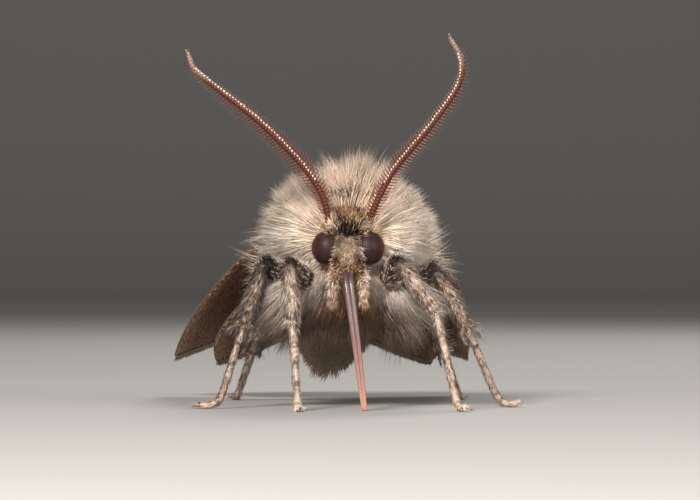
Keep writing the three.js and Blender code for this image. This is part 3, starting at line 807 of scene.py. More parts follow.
head_coat("coat_crown", 4000, area(back=(-FAR, 0.75), up=(6.95, FAR)),
          lambda p: p * (0.6, 0, 0) + (0, -0.35, 1),
          0.8, 1.0, 0.05, 0.5, speck=0.08, curl=1, uneven=0.6, whole=True)
head_coat("coat_brow", 650, area((0.4, 0.95, 0.1), (-FAR, 0.3), (6.85, 7.5, 0.1)),
          lambda p: np.sign(p) * (1, 0, 0) + (0, -0.6, -0.1),
          0.7, 1.0, 0.045, 0.45, colour=tone(60, 40, 30), speck=0.22, curl=1.6, uneven=0.5)
head_coat("coat_round_eyes", 2800, area((0.6, FAR), (-FAR, 0.8), (5.6, 7.6)),
          lambda p: unit(p - (0, 0.2, 6.5)) * (1, 0, 1) + (0, 0.1, 0),
          0.62, 0.9, 0.032, 0.15)
head_coat("coat_throat", 1500, area((-1, 1.3), (0.05, 1.0), (-FAR, 5.7)),
          lambda p: p * (0.2, 0, 0) + (0, -0.2, -1),
          0.9, 0.35, 0.04, 0.15, speck=0.05)
head_coat("coat_palps", 3000, area(back=(-FAR, 0.1), up=(-FAR, 5.5)),
          lambda p: p * (0.15, 0, 0) + (0, -0.3, -1),
          0.55, 0.32, 0.042, 0.15, speck=0.2, uneven=0.6)

# %% [markdown]
# ## The coat of the hind body
# The hind body wears short flat hairs that lie towards the tail, longer at the hind edge of each ring,
# and ends in a tuft.

# %% Coat of the hind body
HIND_LENGTH, RING_LONGER, TAIL_LONGER = 0.8, 0.35, 0.7
HIND_WIDTH = 0.06


def hind_coat(count):
    root, out = SKIN_SURFACE.scatter(count, lambda p: along_body(p)[:, 1] > 2.0)
    across, back, up = along_body(root).T
    share = np.clip((back - ABDOMEN["from"]) / (ABDOMEN["to"] - ABDOMEN["from"]), 0, 1)
    ring = (share * ABDOMEN["segments"]) % 1
    tail = band(share, 0.93, 1.2, 0.1)
    length = HIND_LENGTH + RING_LONGER * band(ring, 0.55, 1.0, 0.2) + TAIL_LONGER * tail
    colour = shaded(coat_colour(root)) * (0.78 + 0.3 * ring)[:, None]
    way = np.array(BODY.to_3x3() @ Vector((0, 1, 0)))
    turn = np.arctan2(across, up + 1)
    hairs("coat_hind_body", root, out, way + 0.12 * rng.normal(size=(count, 3)),
          length * varied(count, 0.75, 1.15), HIND_WIDTH * varied(count, 0.7, 1.2),
          0.44 + varied(count, -0.1, 0.12), -0.25, 0.6 * colour, np.minimum(colour, PALEST),
          (turn / (2 * math.pi) + 0.5, share * 0.98), clump=6, cling=0.4, sunk=0.03)


hind_coat(9000)

# %% [markdown]
# ## Eyes
# A moth's eye is a dark dome of thousands of tiny lenses. A ball is pressed flat where it meets
# the head, and the lenses, each far smaller than a hair is long, are a fine cell pattern in the bump.

# %% Eyes
EYE_MIDDLE = (0.8, EYE_BACK, 6.48)
EYE_HALVES = (0.66, 0.7, 0.7)
EYE_FLAT = 0.56  # the inner side is pressed flat this far from the middle
EYE_DARK, EYE_RUSTY = tone(40, 24, 22), tone(70, 37, 27)


def eye_finish():
    material = finish_for("eye", 0.46, grain=0.15, grain_scale=3000, Specular_IOR_Level=0.14)
    nodes, links = material.node_tree.nodes, material.node_tree.links
    where = nodes.new("ShaderNodeTexCoord")
    lenses = nodes.new("ShaderNodeTexVoronoi")
    dial(lenses, Scale=26000)
    links.new(where.outputs["Object"], lenses.inputs["Vector"])
    relief(material, lenses.outputs["Distance"], 0.35, 0.01, invert=True)
    return material


EYE_FINISH = eye_finish()
for name, side in SIDES.items():
    bm = bmesh.new()
    shape = Matrix.Translation((side * EYE_MIDDLE[0], *EYE_MIDDLE[1:])) @ Matrix.Diagonal((*EYE_HALVES, 1))
    bmesh.ops.create_uvsphere(bm, u_segments=48, v_segments=40, radius=1,
                              matrix=shape @ Matrix.Rotation(math.pi / 2, 4, "Y"))
    for v in bm.verts:
        v.co.x = side * max(side * v.co.x, EYE_FLAT)
    bmesh.ops.recalc_face_normals(bm, faces=bm.faces)
    eye = as_object("eye_dome_" + name, bm)
    outer = np.clip((np.abs(places_of(eye.data)[:, :1]) - 1.22) / 0.24, 0, 1)
    dress(eye, EYE_FINISH, mix(EYE_DARK, EYE_RUSTY, outer), "eye", "eye_" + name)

# %% [markdown]
# ## Limbs
# Feelers, tongue and legs are all tubes along a bent line. A ball with a ring for each place on the
# line is made, and each ring is moved to its place, turned and sized to suit. The ball's two poles
# close the ends, so the tube is one closed skin with nothing inside it.

# %% Limb builder
def line_through(points, count):
    """A smooth line through points, as count places at even steps."""
    p = np.array(points, float)
    p = np.vstack([2 * p[0] - p[1], p, 2 * p[-1] - p[-2]])
    t = np.linspace(0, 1, 24, endpoint=False)[:, None]
    fine = []
    for a, b, c, d in zip(p, p[1:], p[2:], p[3:]):
        fine.append(b + 0.5 * ((c - a) * t + (2 * a - 5 * b + 4 * c - d) * t ** 2
                               + (3 * b - a - 3 * c + d) * t ** 3))
    fine = np.vstack([*fine, p[-2:-1]])
    run = np.append(0, np.cumsum(np.linalg.norm(np.diff(fine, axis=0), axis=1)))
    even = np.linspace(0, run[-1], count)
    return np.column_stack([np.interp(even, run, fine[:, k]) for k in range(3)])


def frames_on(line, facing=(0, -1, 0)):
    """Along, aside and facing directions at each place of a line."""
    along = unit(np.gradient(line, axis=0))
    aside = unit(np.cross(along, np.array(facing, float)))
    return along, aside, np.cross(aside, along)


def limb(bm, line, radius, sides=10, facing=(0, -1, 0)):
    """A ball whose rings are moved to the places of a line."""
    _, aside, front = frames_on(line, facing)
    steps = len(line) + 1
    for v in bmesh.ops.create_uvsphere(bm, u_segments=sides, v_segments=steps, radius=1)["verts"]:
        step = round(math.acos(max(-1, min(1, v.co.z))) / math.pi * steps)
        ring = min(max(step - 1, 0), len(line) - 1)
        turn = math.atan2(v.co.y, v.co.x)
        reach = 0 if step in (0, steps) else radius[ring]
        v.co = line[ring] + reach * (math.cos(turn) * aside[ring] + math.sin(turn) * front[ring])


def closed(bm):
    bmesh.ops.recalc_face_normals(bm, faces=bm.faces)
    return bm


def share_along(line, places):
    """How far along a line each place lies, 0 to 1, by the nearest point of the line."""
    return nearest_of(line, places) / (len(line) - 1)


print("limbs are balls drawn out along a line")

# %% [markdown]
# ## Feelers
# The male's feelers are combs: some sixty short joints, each with a pair of slender curved teeth that
# carry still finer hairs. White scales sit on the front of each joint, their white partly painted highlight
# for the glint of each joint, and brown ones cover its back. The shaft is a ringed tube, and teeth, hairs
# and scales are laid out with the same arrays as the coat.

# %% Shafts of the feelers
FEELER = {
    "right": [(-0.75, -0.2, 7.5), (-1.02, -0.42, 8.55), (-1.8, -0.65, 9.75), (-3.4, -0.95, 11.4),
              (-5.33, -0.95, 12.93), (-6.12, -0.8, 13.62), (-6.4, -0.6, 14.3)],
    "left": [(0.85, -0.2, 7.5), (1.1, -0.42, 8.2), (1.84, -0.65, 9.6), (3.2, -0.95, 11.25),
             (4.33, -0.95, 12.85), (4.53, -0.8, 13.9), (4.06, -0.6, 14.9)],
}
JOINTS = 64
PER_JOINT = 4  # places on the feeler's line
SHAFT_RADIUS = [(0, 0.16), (0.03, 0.125), (0.6, 0.13), (0.85, 0.115), (0.97, 0.08), (1, 0.03)]
SHAFT_DARK, SHAFT_RED, SHAFT_TIP = tone(34, 13, 8), tone(84, 35, 15), tone(132, 102, 90)
HORN = finish_for("horn", 0.55, grain=0.2, grain_scale=9000, bump=0.3, Specular_IOR_Level=0.28)


def feeler_shaft(name, line, share):
    ringed = 0.9 + 0.2 * np.abs(np.sin(math.pi * share * JOINTS))
    bm = bmesh.new()
    limb(bm, line, profile(SHAFT_RADIUS, share) * ringed)
    shaft = as_object("feeler_shaft_" + name, closed(bm))
    place = share_along(line, places_of(shaft.data))
    ring = np.abs(np.sin(math.pi * place * JOINTS))[:, None]
    far = np.clip((place - 0.82) / 0.14, 0, 1)[:, None]
    colours = mix(mix(SHAFT_DARK, SHAFT_RED, ring), (0.5 + 0.5 * ring) * SHAFT_TIP, far)
    dress(shaft, HORN, colours, "feeler", "antenna_" + name)


# %% Teeth and scales of the feelers
TOOTH_REACH = [(0, 0.42), (0.3, 0.54), (0.65, 0.5), (0.88, 0.25), (1, 0.1)]
TOOTH_WIDTH = 0.125
TOOTH_RED, CILIA_TAN = tone(84, 44, 30), tone(150, 122, 92)
CILIA = 9  # fine hairs on a tooth
CILIA_LENGTH, CILIA_WIDTH = 0.11, 0.01
# The white of the front scales is partly painted highlight: the glint that each joint shows on its front.
SCALE_WHITE_AND_HIGHLIGHT, WHITE_SCALES, WHITE_FROM = tone(224, 202, 186), 4, 12  # colour, number on a joint, first joint
BROWN, BROWN_SCALES = tone(166, 132, 108), 9


def feeler_teeth(name, side, line, share):
    """Two teeth a joint, and the fine hairs along each."""
    along, aside, front = frames_on(line)
    joint = (np.arange(2, int(0.93 * JOINTS)) * PER_JOINT + 2).repeat(2)
    row = np.tile([1, -1], len(joint) // 2)
    at_share = share[joint]
    turned = 0.15 - 1.7 * np.clip(at_share * 2.5 - 0.35, 0, 1)
    back = np.where(row * side > 0, -0.2 + 0.2 * at_share, turned)
    out = unit(aside[joint] * row[:, None] + front[joint] * back[:, None])
    reach = profile(TOOTH_REACH, at_share) * varied(len(joint), 0.95, 1.05)
    colour = np.tile(TOOTH_RED, (len(joint), 1))
    unwrap = np.array([at_share, 0.25 + 0.25 * row])
    hairs("feeler_teeth_" + name, line[joint], out, along[joint] + 0.15 * front[joint], reach, TOOTH_WIDTH,
          1.55, -0.6, 0.6 * colour, 1.9 * colour, unwrap, HORN, rings=4, clump=1, thick=0.8, taper=0.55)

    tooth = np.repeat(np.arange(len(joint)), CILIA)
    step = np.tile(np.linspace(0.1, 0.95, CILIA), len(joint))[:, None]
    bent = out[tooth] * 0.93 + along[joint][tooth] * 0.3 * step
    root = line[joint][tooth] + bent * (reach[tooth][:, None] * step)
    fine = np.tile(CILIA_TAN, (len(tooth), 1))
    hairs("feeler_cilia_" + name, root, unit(along[joint][tooth] + 0.3 * front[joint][tooth]), out[tooth],
          CILIA_LENGTH * varied(len(tooth), 0.7, 1.2), CILIA_WIDTH, 1.0, -0.3, fine, fine, unwrap[:, tooth],
          HORN, rings=1, clump=1, sunk=0)


def feeler_scales(name, side, line, share):
    """White scales on the front and the outer side, their white partly painted highlight, and broader brown
    ones on the back.
    """
    along, aside, front = frames_on(line)

    def on_shaft(spot, turn, stand):
        normal = unit(front[spot] * np.cos(turn) + aside[spot] * np.sin(turn))
        return line[spot] + normal * (profile(SHAFT_RADIUS, share[spot]) * stand)[:, None], normal

    spot = (np.arange(WHITE_FROM, JOINTS - 6) * PER_JOINT + 3).repeat(WHITE_SCALES)
    turn = -side * varied(len(spot), 0.45, 0.95)[:, None]
    root, out = on_shaft(spot, turn, 1.02)
    white_and_highlight = shaded(np.tile(SCALE_WHITE_AND_HIGHLIGHT, (len(spot), 1)), 0.3)
    unwrap = (share[spot], 0.5 + 0.3 * turn[:, 0] / math.pi)
    hairs("feeler_scales_" + name, root, out, along[spot], 0.1, 0.045, 0.3, 0.0,
          white_and_highlight * 0.8, white_and_highlight, unwrap, SCALES, clump=1, thick=0.3, sunk=0.01)

    spot = (np.arange(1, JOINTS) * PER_JOINT + 2).repeat(BROWN_SCALES)
    turn = math.pi + varied(len(spot), -1.5, 1.5)[:, None]
    root, out = on_shaft(spot, turn, 0.97)
    root = root + along[spot] * varied(len(spot), -0.1, 0.1)[:, None]
    brown = shaded(np.tile(BROWN, (len(spot), 1)), 0.5)
    unwrap = (share[spot], 0.5 * turn[:, 0] / math.pi)
    hairs("feeler_back_" + name, root, out, along[spot], 0.17, 0.06, 0.22, 0.0,
          brown * 0.6, brown, unwrap, SCALES, clump=1, thick=0.3, sunk=0.01)


for name, side in SIDES.items():
    line = line_through(FEELER[name], PER_JOINT * JOINTS + 1)
    share = np.linspace(0, 1, len(line))
    feeler_shaft(name, line, share)
    feeler_teeth(name, side, line, share)
    feeler_scales(name, side, line, share)

# %% [markdown]
# ## Tongue
# The tongue is two long halves that lie side by side with a groove between them, finely ringed and
# tapering to the floor. Two limbs side by side give the groove, and their rings are in the mesh.

# %% Tongue
TONGUE_LINE = [(0, -0.62, 5.6), (0.05, -1.2, 4.85), (0.33, -1.3, 2.7),
               (0.62, -1.0, 0.3), (0.645, -0.97, 0.03)]
TONGUE_RADIUS = [(0, 0.125), (0.2, 0.11), (0.75, 0.084), (0.97, 0.062), (1, 0.04)]
TONGUE_TOP, TONGUE_MIDDLE, TONGUE_END = tone(50, 39, 38), tone(100, 79, 76), tone(170, 122, 102)


def tongue():
    line = line_through(TONGUE_LINE, 220)
    aside = frames_on(line)[1]
    radius = profile(TONGUE_RADIUS, np.linspace(0, 1, len(line)))
    ringed = 1 + 0.03 * np.sin(np.arange(len(line)) * math.pi / 2)
    bm = bmesh.new()
    for side in (-1, 1):
        limb(bm, line + aside * (side * 0.86 * radius)[:, None], radius * ringed, 12)
    thing = as_object("tongue", closed(bm))
    low = share_along(line, places_of(thing.data))[:, None]
    near = np.clip(low / 0.35, 0, 1)
    far = np.clip((low - 0.5) / 0.5, 0, 1)
    colours = mix(mix(TONGUE_TOP, TONGUE_MIDDLE, near), TONGUE_END, far)
    moist = finish_for("tongue", 0.3, grain=0.15, grain_scale=4000, bump=0.3,
                       Coat_Weight=0.15, Coat_Roughness=0.25)
    dress(thing, moist, colours, "tongue", "proboscis")
    print("tongue", round(np.linalg.norm(np.diff(line, axis=0), axis=1).sum(), 2), "mm long")


tongue()

# %% [markdown]
# ## Legs
# Each leg is thigh, shin and a foot of five short joints with two claws. The bones are limbs, the coat
# on them is small flat scales that lie towards the foot, with a fringe of long hairs on thigh and shin.

# %% Leg sizes
# Hip, knee, ankle, the bend of the foot, and the place of its tip on the floor.
LEGS = {
    "foreleg_right": [(-1.4, 1.5, 4.9), (-2.35, -0.3, 5.85), (-2.22, -0.75, 3.65), (-2.02, -1.3, 0.6),
                      (-1.92, -2.3)],
    "foreleg_left": [(1.4, 1.5, 4.9), (2.0, -0.3, 5.95), (3.5, -0.6, 3.95), (4.25, -1.2, 0.6), (4.6, -2.1)],
    "midleg_right": [(-1.7, 2.9, 4.5), (-3.35, 0.7, 5.85), (-4.15, 0.95, 3.5), (-5.1, 1.2, 0.55),
                     (-6.0, 1.2)],
    "midleg_left": [(1.7, 2.9, 4.5), (3.5, 1.0, 5.6), (4.8, 1.8, 3.3), (6.0, 2.7, 0.55), (6.9, 2.9)],
    "hindleg_right": [(-1.4, 4.6, 4.2), (-3.2, 6.2, 3.9), (-4.0, 8.5, 2.2), (-4.6, 10.6, 0.5),
                      (-4.9, 11.6)],
    "hindleg_left": [(1.4, 4.6, 4.2), (3.2, 6.2, 3.9), (4.0, 8.5, 2.2), (4.6, 10.6, 0.5), (4.9, 11.6)],
}
LEG_FRONT = (0.1, -1, 0.3)
THIGH = [(0, 0.3), (0.4, 0.42), (0.85, 0.3), (0.97, 0.2), (1, 0.1)]
SHIN = [(0, 0.12), (0.04, 0.22), (0.5, 0.27), (0.9, 0.24), (0.98, 0.18), (1, 0.08)]
THIGH_STEPS, SHIN_STEPS, FOOT_STEPS = 24, 28, 61
SOLE = 0.165  # height of the foot's middle line over the floor
TIP_LOWER = 0.03  # the tip's middle lies this much lower
# Places on a claw: which of the foot's places it starts from, then ahead, aside and up.
CLAW = [(-2, 0, 0.04, 0), (-1, 0.1, 0.1, 0.04), (-1, 0.2, 0.14, -0.09)]
CLAW_RADIUS = (0.045, 0.006)
SPURS = {"foreleg": [], "midleg": [1.0], "hindleg": [0.62, 1.0]}  # how far down the shin they stand
SPUR = [(0, 0), (0.3, 0.32), (0.75, 0.42)]  # places on a spur: down and aside
SPUR_RADIUS = (0.07, 0.012)
SPUR_FRONT = (0.3, -1, 0.2)


def foot_line(ankle, heel, toe):
    toe = np.array((*toe, SOLE - TIP_LOWER))
    pad = heel * 0.55 + toe * 0.45
    pad[2] = SOLE
    return line_through([ankle, ankle * 0.5 + heel * 0.5, heel, pad, toe], FOOT_STEPS)


def foot_radius(share):
    joint = (5 * share) % 1
    return (0.155 - 0.03 * share) * (0.86 + 0.2 * joint ** 2) * np.clip((1.02 - share) / 0.04, 0.3, 1)


def leg_bones(name):
    """The lines and radii of thigh, shin and foot."""
    hip, knee, ankle, heel = (np.array(p, float) for p in LEGS[name][:4])
    return [(line_through([hip, knee], THIGH_STEPS), profile(THIGH, np.linspace(0, 1, THIGH_STEPS))),
            (line_through([knee, ankle], SHIN_STEPS), profile(SHIN, np.linspace(0, 1, SHIN_STEPS))),
            (foot_line(ankle, heel, LEGS[name][4]), foot_radius(np.linspace(0, 1, FOOT_STEPS)))]


for name in LEGS:
    print(name, [round(float(np.linalg.norm(line[-1] - line[0])), 1) for line, _ in leg_bones(name)], "mm")

# %% Leg colours
LEG_TAN, PALE_HAIR, ROSY = tone(220, 190, 170), tone(186, 160, 132), 0.75 * tone(160, 84, 72)
# Painted shade: the legs behind the forelegs lie back under the body and the wings, and their scales and
# fringes are darkened by these shares, the right middle leg most.
LEG_PAINTED_SHADE = {"midleg_right": 0.5, "midleg_left": 0.9, "hindleg_right": 0.7, "hindleg_left": 0.7}
# Painted shade: the leg under its scales is darkened for the shade it lies in beneath them.
BONE_PAINTED_SHADE = 0.4  # the leg under its scales
THIGH_DARK, KNEE_DARK, BAND_DARK = 0.95, 0.9, 0.55
FOOT_LIGHTER = 1.3


def leg_colour(places, bones):
    """Pinkish tan, with a dark thigh, a black knee and a brown band on each joint of the foot. Also how
    far down the leg each place is: 0 to 1 on the thigh, to 2 on the shin and to 3 on the foot."""
    lengths = np.concatenate([np.full(len(line), i) + np.linspace(0, 0.999, len(line))
                              for i, (line, _) in enumerate(bones)])
    part = lengths[nearest_of(np.vstack([line for line, _ in bones]), places)]
    colour = LEG_TAN * np.ones((len(places), 1))
    knee = KNEE_DARK * peak(part, 0.95, np.where(part < 0.95, 0.3, 0.2))[:, None]
    thigh = np.clip((1.04 - part) / 0.1, 0, THIGH_DARK)[:, None]
    ring = (np.clip(part - 2, 0, 1) * 5 % 1 < 0.22)[:, None] * (part > 2.02)[:, None] * BAND_DARK
    colour = mix(mix(colour, UMBER * 0.45, thigh), SOOT, knee)
    colour = np.where(part[:, None] > 2, FOOT_LIGHTER * colour, colour)
    return mix(colour, UMBER * 0.8, ring), part


print("shades of the legs behind the forelegs:", LEG_PAINTED_SHADE)

# %% Legs
SCALE_LENGTH, SCALE_WIDTH = 0.4, 0.055
FLECK_SHADE = 0.22
FRINGE_WIDTH = 0.03


def leg(name, bones):
    bm = bmesh.new()
    for line, radius in bones:
        limb(bm, line, radius, 12, facing=LEG_FRONT)
    foot = bones[2][0]
    ahead = unit(foot[-1] - foot[-4])
    aside = np.cross(ahead, (0, 0, 1))
    for side in (-1, 1):
        claw = [foot[i] + ahead * far + aside * side * wide + (0, 0, up) for i, far, wide, up in CLAW]
        limb(bm, line_through(claw, 8), np.linspace(*CLAW_RADIUS, 8), 6, facing=(0.1, -0.2, 1))
    shin = bones[1][0]
    down = unit(shin[-1] - shin[0])
    sideways = unit(np.cross(down, SPUR_FRONT))
    for share in SPURS[name.split("_")[0]]:
        for side in (-1, 1):
            spur = [shin[int(share * 25)] + down * far + sideways * side * wide for far, wide in SPUR]
            limb(bm, line_through(spur, 8), np.linspace(*SPUR_RADIUS, 8), 6, facing=SPUR_FRONT)
    thing = as_object(name, closed(bm))
    dress(thing, HORN, BONE_PAINTED_SHADE * leg_colour(places_of(thing.data), bones)[0], "leg",
          *(f"{name}_{bone}" for bone in ("femur", "tibia", "tarsus")))
    return thing


def leg_coat(name, thing, bones):
    """Flat scales all over the leg, and a fringe of long hairs high on it."""
    surface = skin_surface(thing)
    whole = np.vstack([line for line, _ in bones])
    along, aside = (np.vstack([frames_on(line, LEG_FRONT)[k] for line, _ in bones]) for k in (0, 1))
    # shade is the painted shade of a leg that lies back under the body and the wings; the forelegs keep 1.
    shade = LEG_PAINTED_SHADE.get(name, 1)
    fore = name.startswith("fore")

    def laid(count, wanted, splay):
        """Roots, ways out, ways down and away from the leg's front, colours, parts and UV places."""
        root, out = surface.scatter(count, wanted)
        near = nearest_of(whole, root)
        colour, part = leg_colour(root, bones)
        turn = np.arctan2(*(np.cross(out, along[near])[:, [0, 2]]).T) / (2 * math.pi) + 0.5
        half = dot(out, aside[near])
        way = along[near] + splay * half * aside[near] + 0.14 * rng.normal(size=root.shape)
        return root, out, way, colour, part, (turn, part / 3.01)

    def scaly(p):
        """All but the claws, and closer set on the foot, where the scales are small."""
        return (p[:, 2] > 0.1) * np.where(share_along(whole, p) > 0.45, 1.8, 1)

    def hairy(p):
        """High on the leg, and thin on the middle of its front, which only flat scales cover."""
        near = nearest_of(whole, p)
        from_middle = unit(p - whole[near])
        front = np.abs(np.sum(from_middle * aside[near], axis=1)) < 0.8
        high = band(p[:, 2], 3.3 if fore else 2.4, 12, 1.2)
        return (share_along(whole, p) < 0.5) * high * np.where(front, 0.08, 1)

    root, out, way, colour, part, unwrap = laid(5200, scaly, 0.5)
    colour = shaded(colour * shade, 0.45)
    colour[sway(root, 0.22, 3)[:, 0] > 0.45] *= FLECK_SHADE
    inner = np.sign(bones[0][0][0, 0]) * np.sum(out * aside[nearest_of(whole, root)], axis=1)
    colour[(inner > 0.8) * (part > 1.2) * (part < 1.85) * fore] = ROSY
    colour[(part < 0.85) * (rng.random(len(root)) < 0.18)] = PALE_HAIR
    small = np.where(part < 2, 1, 0.7)
    hairs("coat_" + name, root, out, way, SCALE_LENGTH * small * varied(len(root), 0.6, 1.1),
          SCALE_WIDTH * small, 0.42, -0.3, 0.35 * colour, np.minimum(1.15 * colour, PALEST), unwrap,
          SCALES, rings=1, clump=1, thick=0.35, sunk=0.03)

    root, out, way, colour, part, unwrap = laid(1700, hairy, 0.55)
    grey = np.where(rng.random((len(root), 1)) < 0.6, DUST * 0.9, UMBER * 1.3)
    dark = peak(part, 0.92, 0.22 if fore else 0.36)[:, None]
    grey = shaded(mix(grey, SOOT, dark) * shade, 0.3)
    hairs("fringe_" + name, root, out, way, (0.85 if fore else 1.0) * varied(len(root), 0.35, 1.1),
          FRINGE_WIDTH, 0.45, -0.3, 0.6 * grey, grey, unwrap, clump=6, cling=0.45)


for name in LEGS:
    bones = leg_bones(name)
    leg_coat(name, leg(name, bones), bones)

# %% [markdown]
# ## Wings
# Each wing is a thin sheet held up by veins, and covered on both sides with overlapping scales like
# roof tiles. The sheet is a grid, bent to the wing's outline and arch with its veins raised, and given
# its thickness by a modifier. The scales and the fringe on the outer edge are laid with the hair builder.

# %% Wing shape
WING_ROOT = (2.7, -1.59, 0.46)
WING_TURN = (-0.3, 0.953, -0.03)
ROOF = math.radians(17)
UNDER = (2.6, 0.8, -1.1)  # where the hind wing starts from the fore wing's root
VEIN_HEIGHT, VEIN_WIDTH = 0.06, 0.013
WINGS = {
    "forewing": {
        "front": [(0, 0), (4, -0.75), (10, -0.6), (15.5, 1.0)],
        "margin": [(15.5, 1.0), (15.9, 2.9), (14.3, 5.3), (11.4, 6.1)],
        "hind": [(0, 0.8), (3, 2.7), (7.4, 5.4), (11.4, 6.1)], "camber": 0.5, "veins": 6},
    "hindwing": {
        "front": [(0, 0), (4, -0.9), (8, -0.6), (11.2, 1.2)],
        "margin": [(11.2, 1.2), (11.6, 3.2), (9.9, 4.8), (7.4, 4.9)],
        "hind": [(0, 0.7), (2, 2.0), (4.6, 4.2), (7.4, 4.9)], "camber": 0.35, "veins": 5},
}


def curve_at(points, t):
    a, b, c, d = (np.array(p, float) for p in points)
    t = np.asarray(t, float)[..., None]
    return a * (1 - t) ** 3 + 3 * b * t * (1 - t) ** 2 + 3 * c * t ** 2 * (1 - t) + d * t ** 3


def wing_axes(side):
    along = unit(np.array(WING_TURN))
    up = unit(np.cross((WING_TURN[1], -WING_TURN[0], 0), along))
    across = np.cross(along, up)
    tilt = np.array(Matrix.Rotation(-ROOF, 3, Vector(along)))
    body = np.array(BODY.to_3x3())
    return [body @ ((-side, 1, 1) * axis) for axis in (along, tilt @ across, tilt @ up)]


def on_wing(kind, side, t, f, lift=0.0):
    """The place on a wing: t from its root to its outer edge, f from its front edge to its hind edge."""
    wing = WINGS[kind]
    t, f = np.asarray(t, float), np.asarray(f, float)
    flat = mix(curve_at(wing["front"], t), curve_at(wing["hind"], t), f[..., None])
    ends = mix(np.array(wing["margin"][0]), np.array(wing["margin"][-1]), f[..., None])
    flat = flat + (curve_at(wing["margin"], f) - ends) * t[..., None]
    rise = wing["camber"] * np.sin(math.pi * f) * np.sqrt(t) * (1 - 0.4 * t) + lift
    root = np.array(BODY @ Vector((side * WING_ROOT[0], *WING_ROOT[1:])))
    along, across, up = wing_axes(side)
    if kind == "hindwing":
        root = root + along * UNDER[0] + across * UNDER[1] + up * UNDER[2]
    return root + flat[..., :1] * along + flat[..., 1:] * across + rise[..., None] * up


def vein_height(kind, t, f):
    """Ridges along the wing that fade where they fork towards the outer edge."""
    from_vein = np.abs((f * WINGS[kind]["veins"] + 0.5) % 1 - 0.5) / WINGS[kind]["veins"]
    return VEIN_HEIGHT * peak(from_vein, 0, VEIN_WIDTH) * (1 - 0.5 * t)


def wing_normal(kind, side, t, f, top):
    """The way out of a wing's upper or under side, and the way along the wing."""
    along = on_wing(kind, side, t + 0.004, f) - on_wing(kind, side, t - 0.004, f)
    across = on_wing(kind, side, t, f + 0.004) - on_wing(kind, side, t, f - 0.004)
    normal = unit(np.cross(along, across))
    up = wing_axes(side)[2]
    face = np.sign(dot(normal, up)) * (1 if top else -1)
    return normal * face, unit(along)


print("wings", [wing["front"][-1][0] for wing in WINGS.values()], "mm long")

# %% [markdown]
# ## Markings
# The upper side of the fore wing carries the species' pattern: a pale streak that branches in three, two
# ringed spots, dark wedges and a pale line along the outer edge, on olive brown. The other sides are plain
# brown. Each mark is laid over the ones before it by how far a place is from the mark's middle.

# %% Wing colours
OLIVE, UNDERSIDE, FIELD = tone(128, 98, 72), tone(136, 84, 54), tone(84, 58, 42)
STREAK, WEDGE, LINE = tone(226, 208, 176), tone(52, 36, 28), tone(198, 174, 140)
FRONT_EDGE, OUTER_EDGE = tone(172, 136, 100), tone(150, 118, 90)
RINGED = ((0.33, 0.34, 0.045, 0.05), (0.52, 0.31, 0.04, 0.085))  # t, f, length and width of each spot
BRANCHES = ((-1, 0.86), (0, 0.93), (1, 0.84))  # side of each branch and how far out it ends
BRANCH_FROM, BRANCH_APART = 0.48, 6  # where they part, and how many branches would span the wing


def wing_colour(kind, t, f, top):
    plain = kind == "hindwing" or not top
    base = np.tile(UNDERSIDE if plain else OLIVE, (len(t), 1))
    mottle = np.sin(31 * t + 9 * np.sin(17 * f)) * np.sin(43 * f + 5 * np.sin(11 * t))
    base = base * (1 + 0.12 * mottle)[:, None]

    def lay(cover, colour):
        nonlocal base
        base = mix(base, colour, cover[:, None])

    if not plain:
        lay(0.4 * band(f, 0.68, 1.2, 0.3), tone(150, 120, 92))
        lay(0.5 * band(f, 0.2, 0.64, 0.2) * band(t, 0.12, 0.9, 0.25), FIELD)
        for at_t, at_f, long, wide in RINGED:
            away = np.hypot((t - at_t - 0.25 * (f - at_f)) / long, (f - at_f) / wide)
            lay(0.6 * peak(away, 0, 1, 4), tone(146, 112, 82))
            lay(0.75 * peak(away, 1, 0.28), tone(212, 190, 156))
        fork = np.clip((t - BRANCH_FROM) / 0.2, 0, 1)
        for branch, end in BRANCHES:
            line = 0.5 + branch * fork ** 0.7 / BRANCH_APART + 0.005 * np.sin(34 * t + branch)
            stout = 0.01 + 0.016 * peak(t, 0.52, 0.13) + 0.004 * np.sin(23 * t)
            fade = np.clip((end - t) / 0.09, 0, 1) * np.clip(t / 0.08, 0, 1)
            lay(0.92 * fade * peak(f, line, stout, 4), STREAK)
        wedge = np.abs((f * 6) % 1 - 0.5) * 2
        lay(0.85 * peak(t - 0.86, -0.05 * wedge, 0.035, 4) * (wedge < 0.55), WEDGE)
        lay(0.55 * peak(t - 0.94, -0.01 * np.sin(60 * f), 0.018), LINE)
    lay(0.9 * peak(f, 0, 0.1, 4), FRONT_EDGE)
    lay(0.6 * peak(t, 1, 0.05), OUTER_EDGE)
    return base


print("marks:", len(RINGED), "ringed spots and", len(BRANCHES), "branches of the streak")

# %% Wing sheets and scales
SHEET = 0.09  # how thick the wing is
SHEET_ROWS = 60
SCALE = {"length": 0.34, "width": 0.13}
FRINGE = {"length": 0.65, "width": 0.06}
FRINGE_COUNT = 1900
WING_COUNTS = {"forewing": (11000, 5800), "hindwing": (3600, 3200)}  # scales above and below
MEMBRANE = finish_for("membrane", 0.6, grain=0.2, bump=0.3)


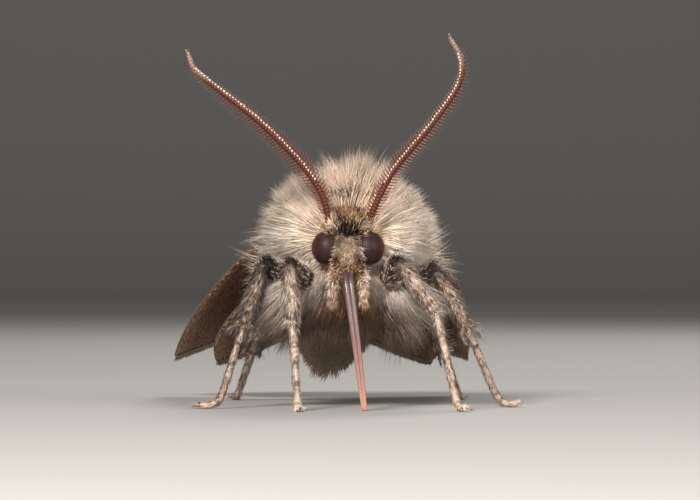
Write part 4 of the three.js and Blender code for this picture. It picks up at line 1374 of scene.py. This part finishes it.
def wing_sheet(kind, name, side):
    bm = bmesh.new()
    bmesh.ops.create_grid(bm, x_segments=SHEET_ROWS, y_segments=8 * WINGS[kind]["veins"], size=1)
    for v in bm.verts:
        t = np.array([(v.co.x + 1) / 2])
        f = np.array([(v.co.y + 1) / 2])
        v.co = on_wing(kind, side, t, f, vein_height(kind, t, f))[0]
    sheet = as_object(f"{kind}_sheet_{name}", closed(bm))
    thickness = sheet.modifiers.new("thickness", "SOLIDIFY")
    thickness.thickness = SHEET * MM
    thickness.offset = 0
    bake_modifiers(sheet)
    colours = np.tile(tone(92, 70, 56), (len(sheet.data.vertices), 1))
    dress(sheet, MEMBRANE, colours, "wing", f"{kind}_{name}")


def wing_scales(kind, name, side, count, top):
    t, f = rng.uniform(0.01, 0.99, (2, 3 * count))
    wide = np.linalg.norm(on_wing(kind, side, t, f * 0 + 1) - on_wing(kind, side, t, f * 0), axis=1)
    kept = rng.random(len(t)) < wide / wide.max()
    t, f = t[kept][:count], f[kept][:count]
    out, along = wing_normal(kind, side, t, f, top)
    root = on_wing(kind, side, t, f, vein_height(kind, t, f)) + out * SHEET / 2
    colour = shaded(wing_colour(kind, t, f, top), 0.16)
    face, half = ("upper", 0.5) if top else ("under", 0)
    hairs(f"{kind}_scales_{face}_{name}", root, out, along + 0.08 * rng.normal(size=root.shape),
          SCALE["length"] * varied(len(t), 0.7, 1.15), SCALE["width"] * varied(len(t), 0.8, 1.2),
          0.16, -0.05, 0.8 * colour, colour, (t * 0.48 + half, f),
          SCALES, rings=1, clump=1, thick=0.12, sunk=0.005)


def wing_fringe(kind, name, side, count):
    f = rng.uniform(0, 1, count)
    t = np.ones(count) - rng.uniform(0, 0.02, count)
    out, along = wing_normal(kind, side, t - 0.005, np.clip(f, 0.01, 0.99), True)
    root = on_wing(kind, side, t, f)
    colour = shaded(np.tile(tone(168, 138, 108), (count, 1)), 0.2)
    colour[rng.random(count) < 0.5] *= 0.6
    hairs(f"{kind}_fringe_{name}", root, out, along + 0.1 * rng.normal(size=root.shape),
          FRINGE["length"] * varied(count, 0.6, 1.1), FRINGE["width"], 0.0, -0.05, colour * 0.8, colour,
          (t * 0.48, f), SCALES, rings=1, clump=1, thick=0.3)


for name, side in SIDES.items():
    for kind, (upper, under) in WING_COUNTS.items():
        wing_sheet(kind, name, side)
        wing_scales(kind, name, side, upper, True)
        wing_scales(kind, name, side, under, False)
        wing_fringe(kind, name, side, FRINGE_COUNT)
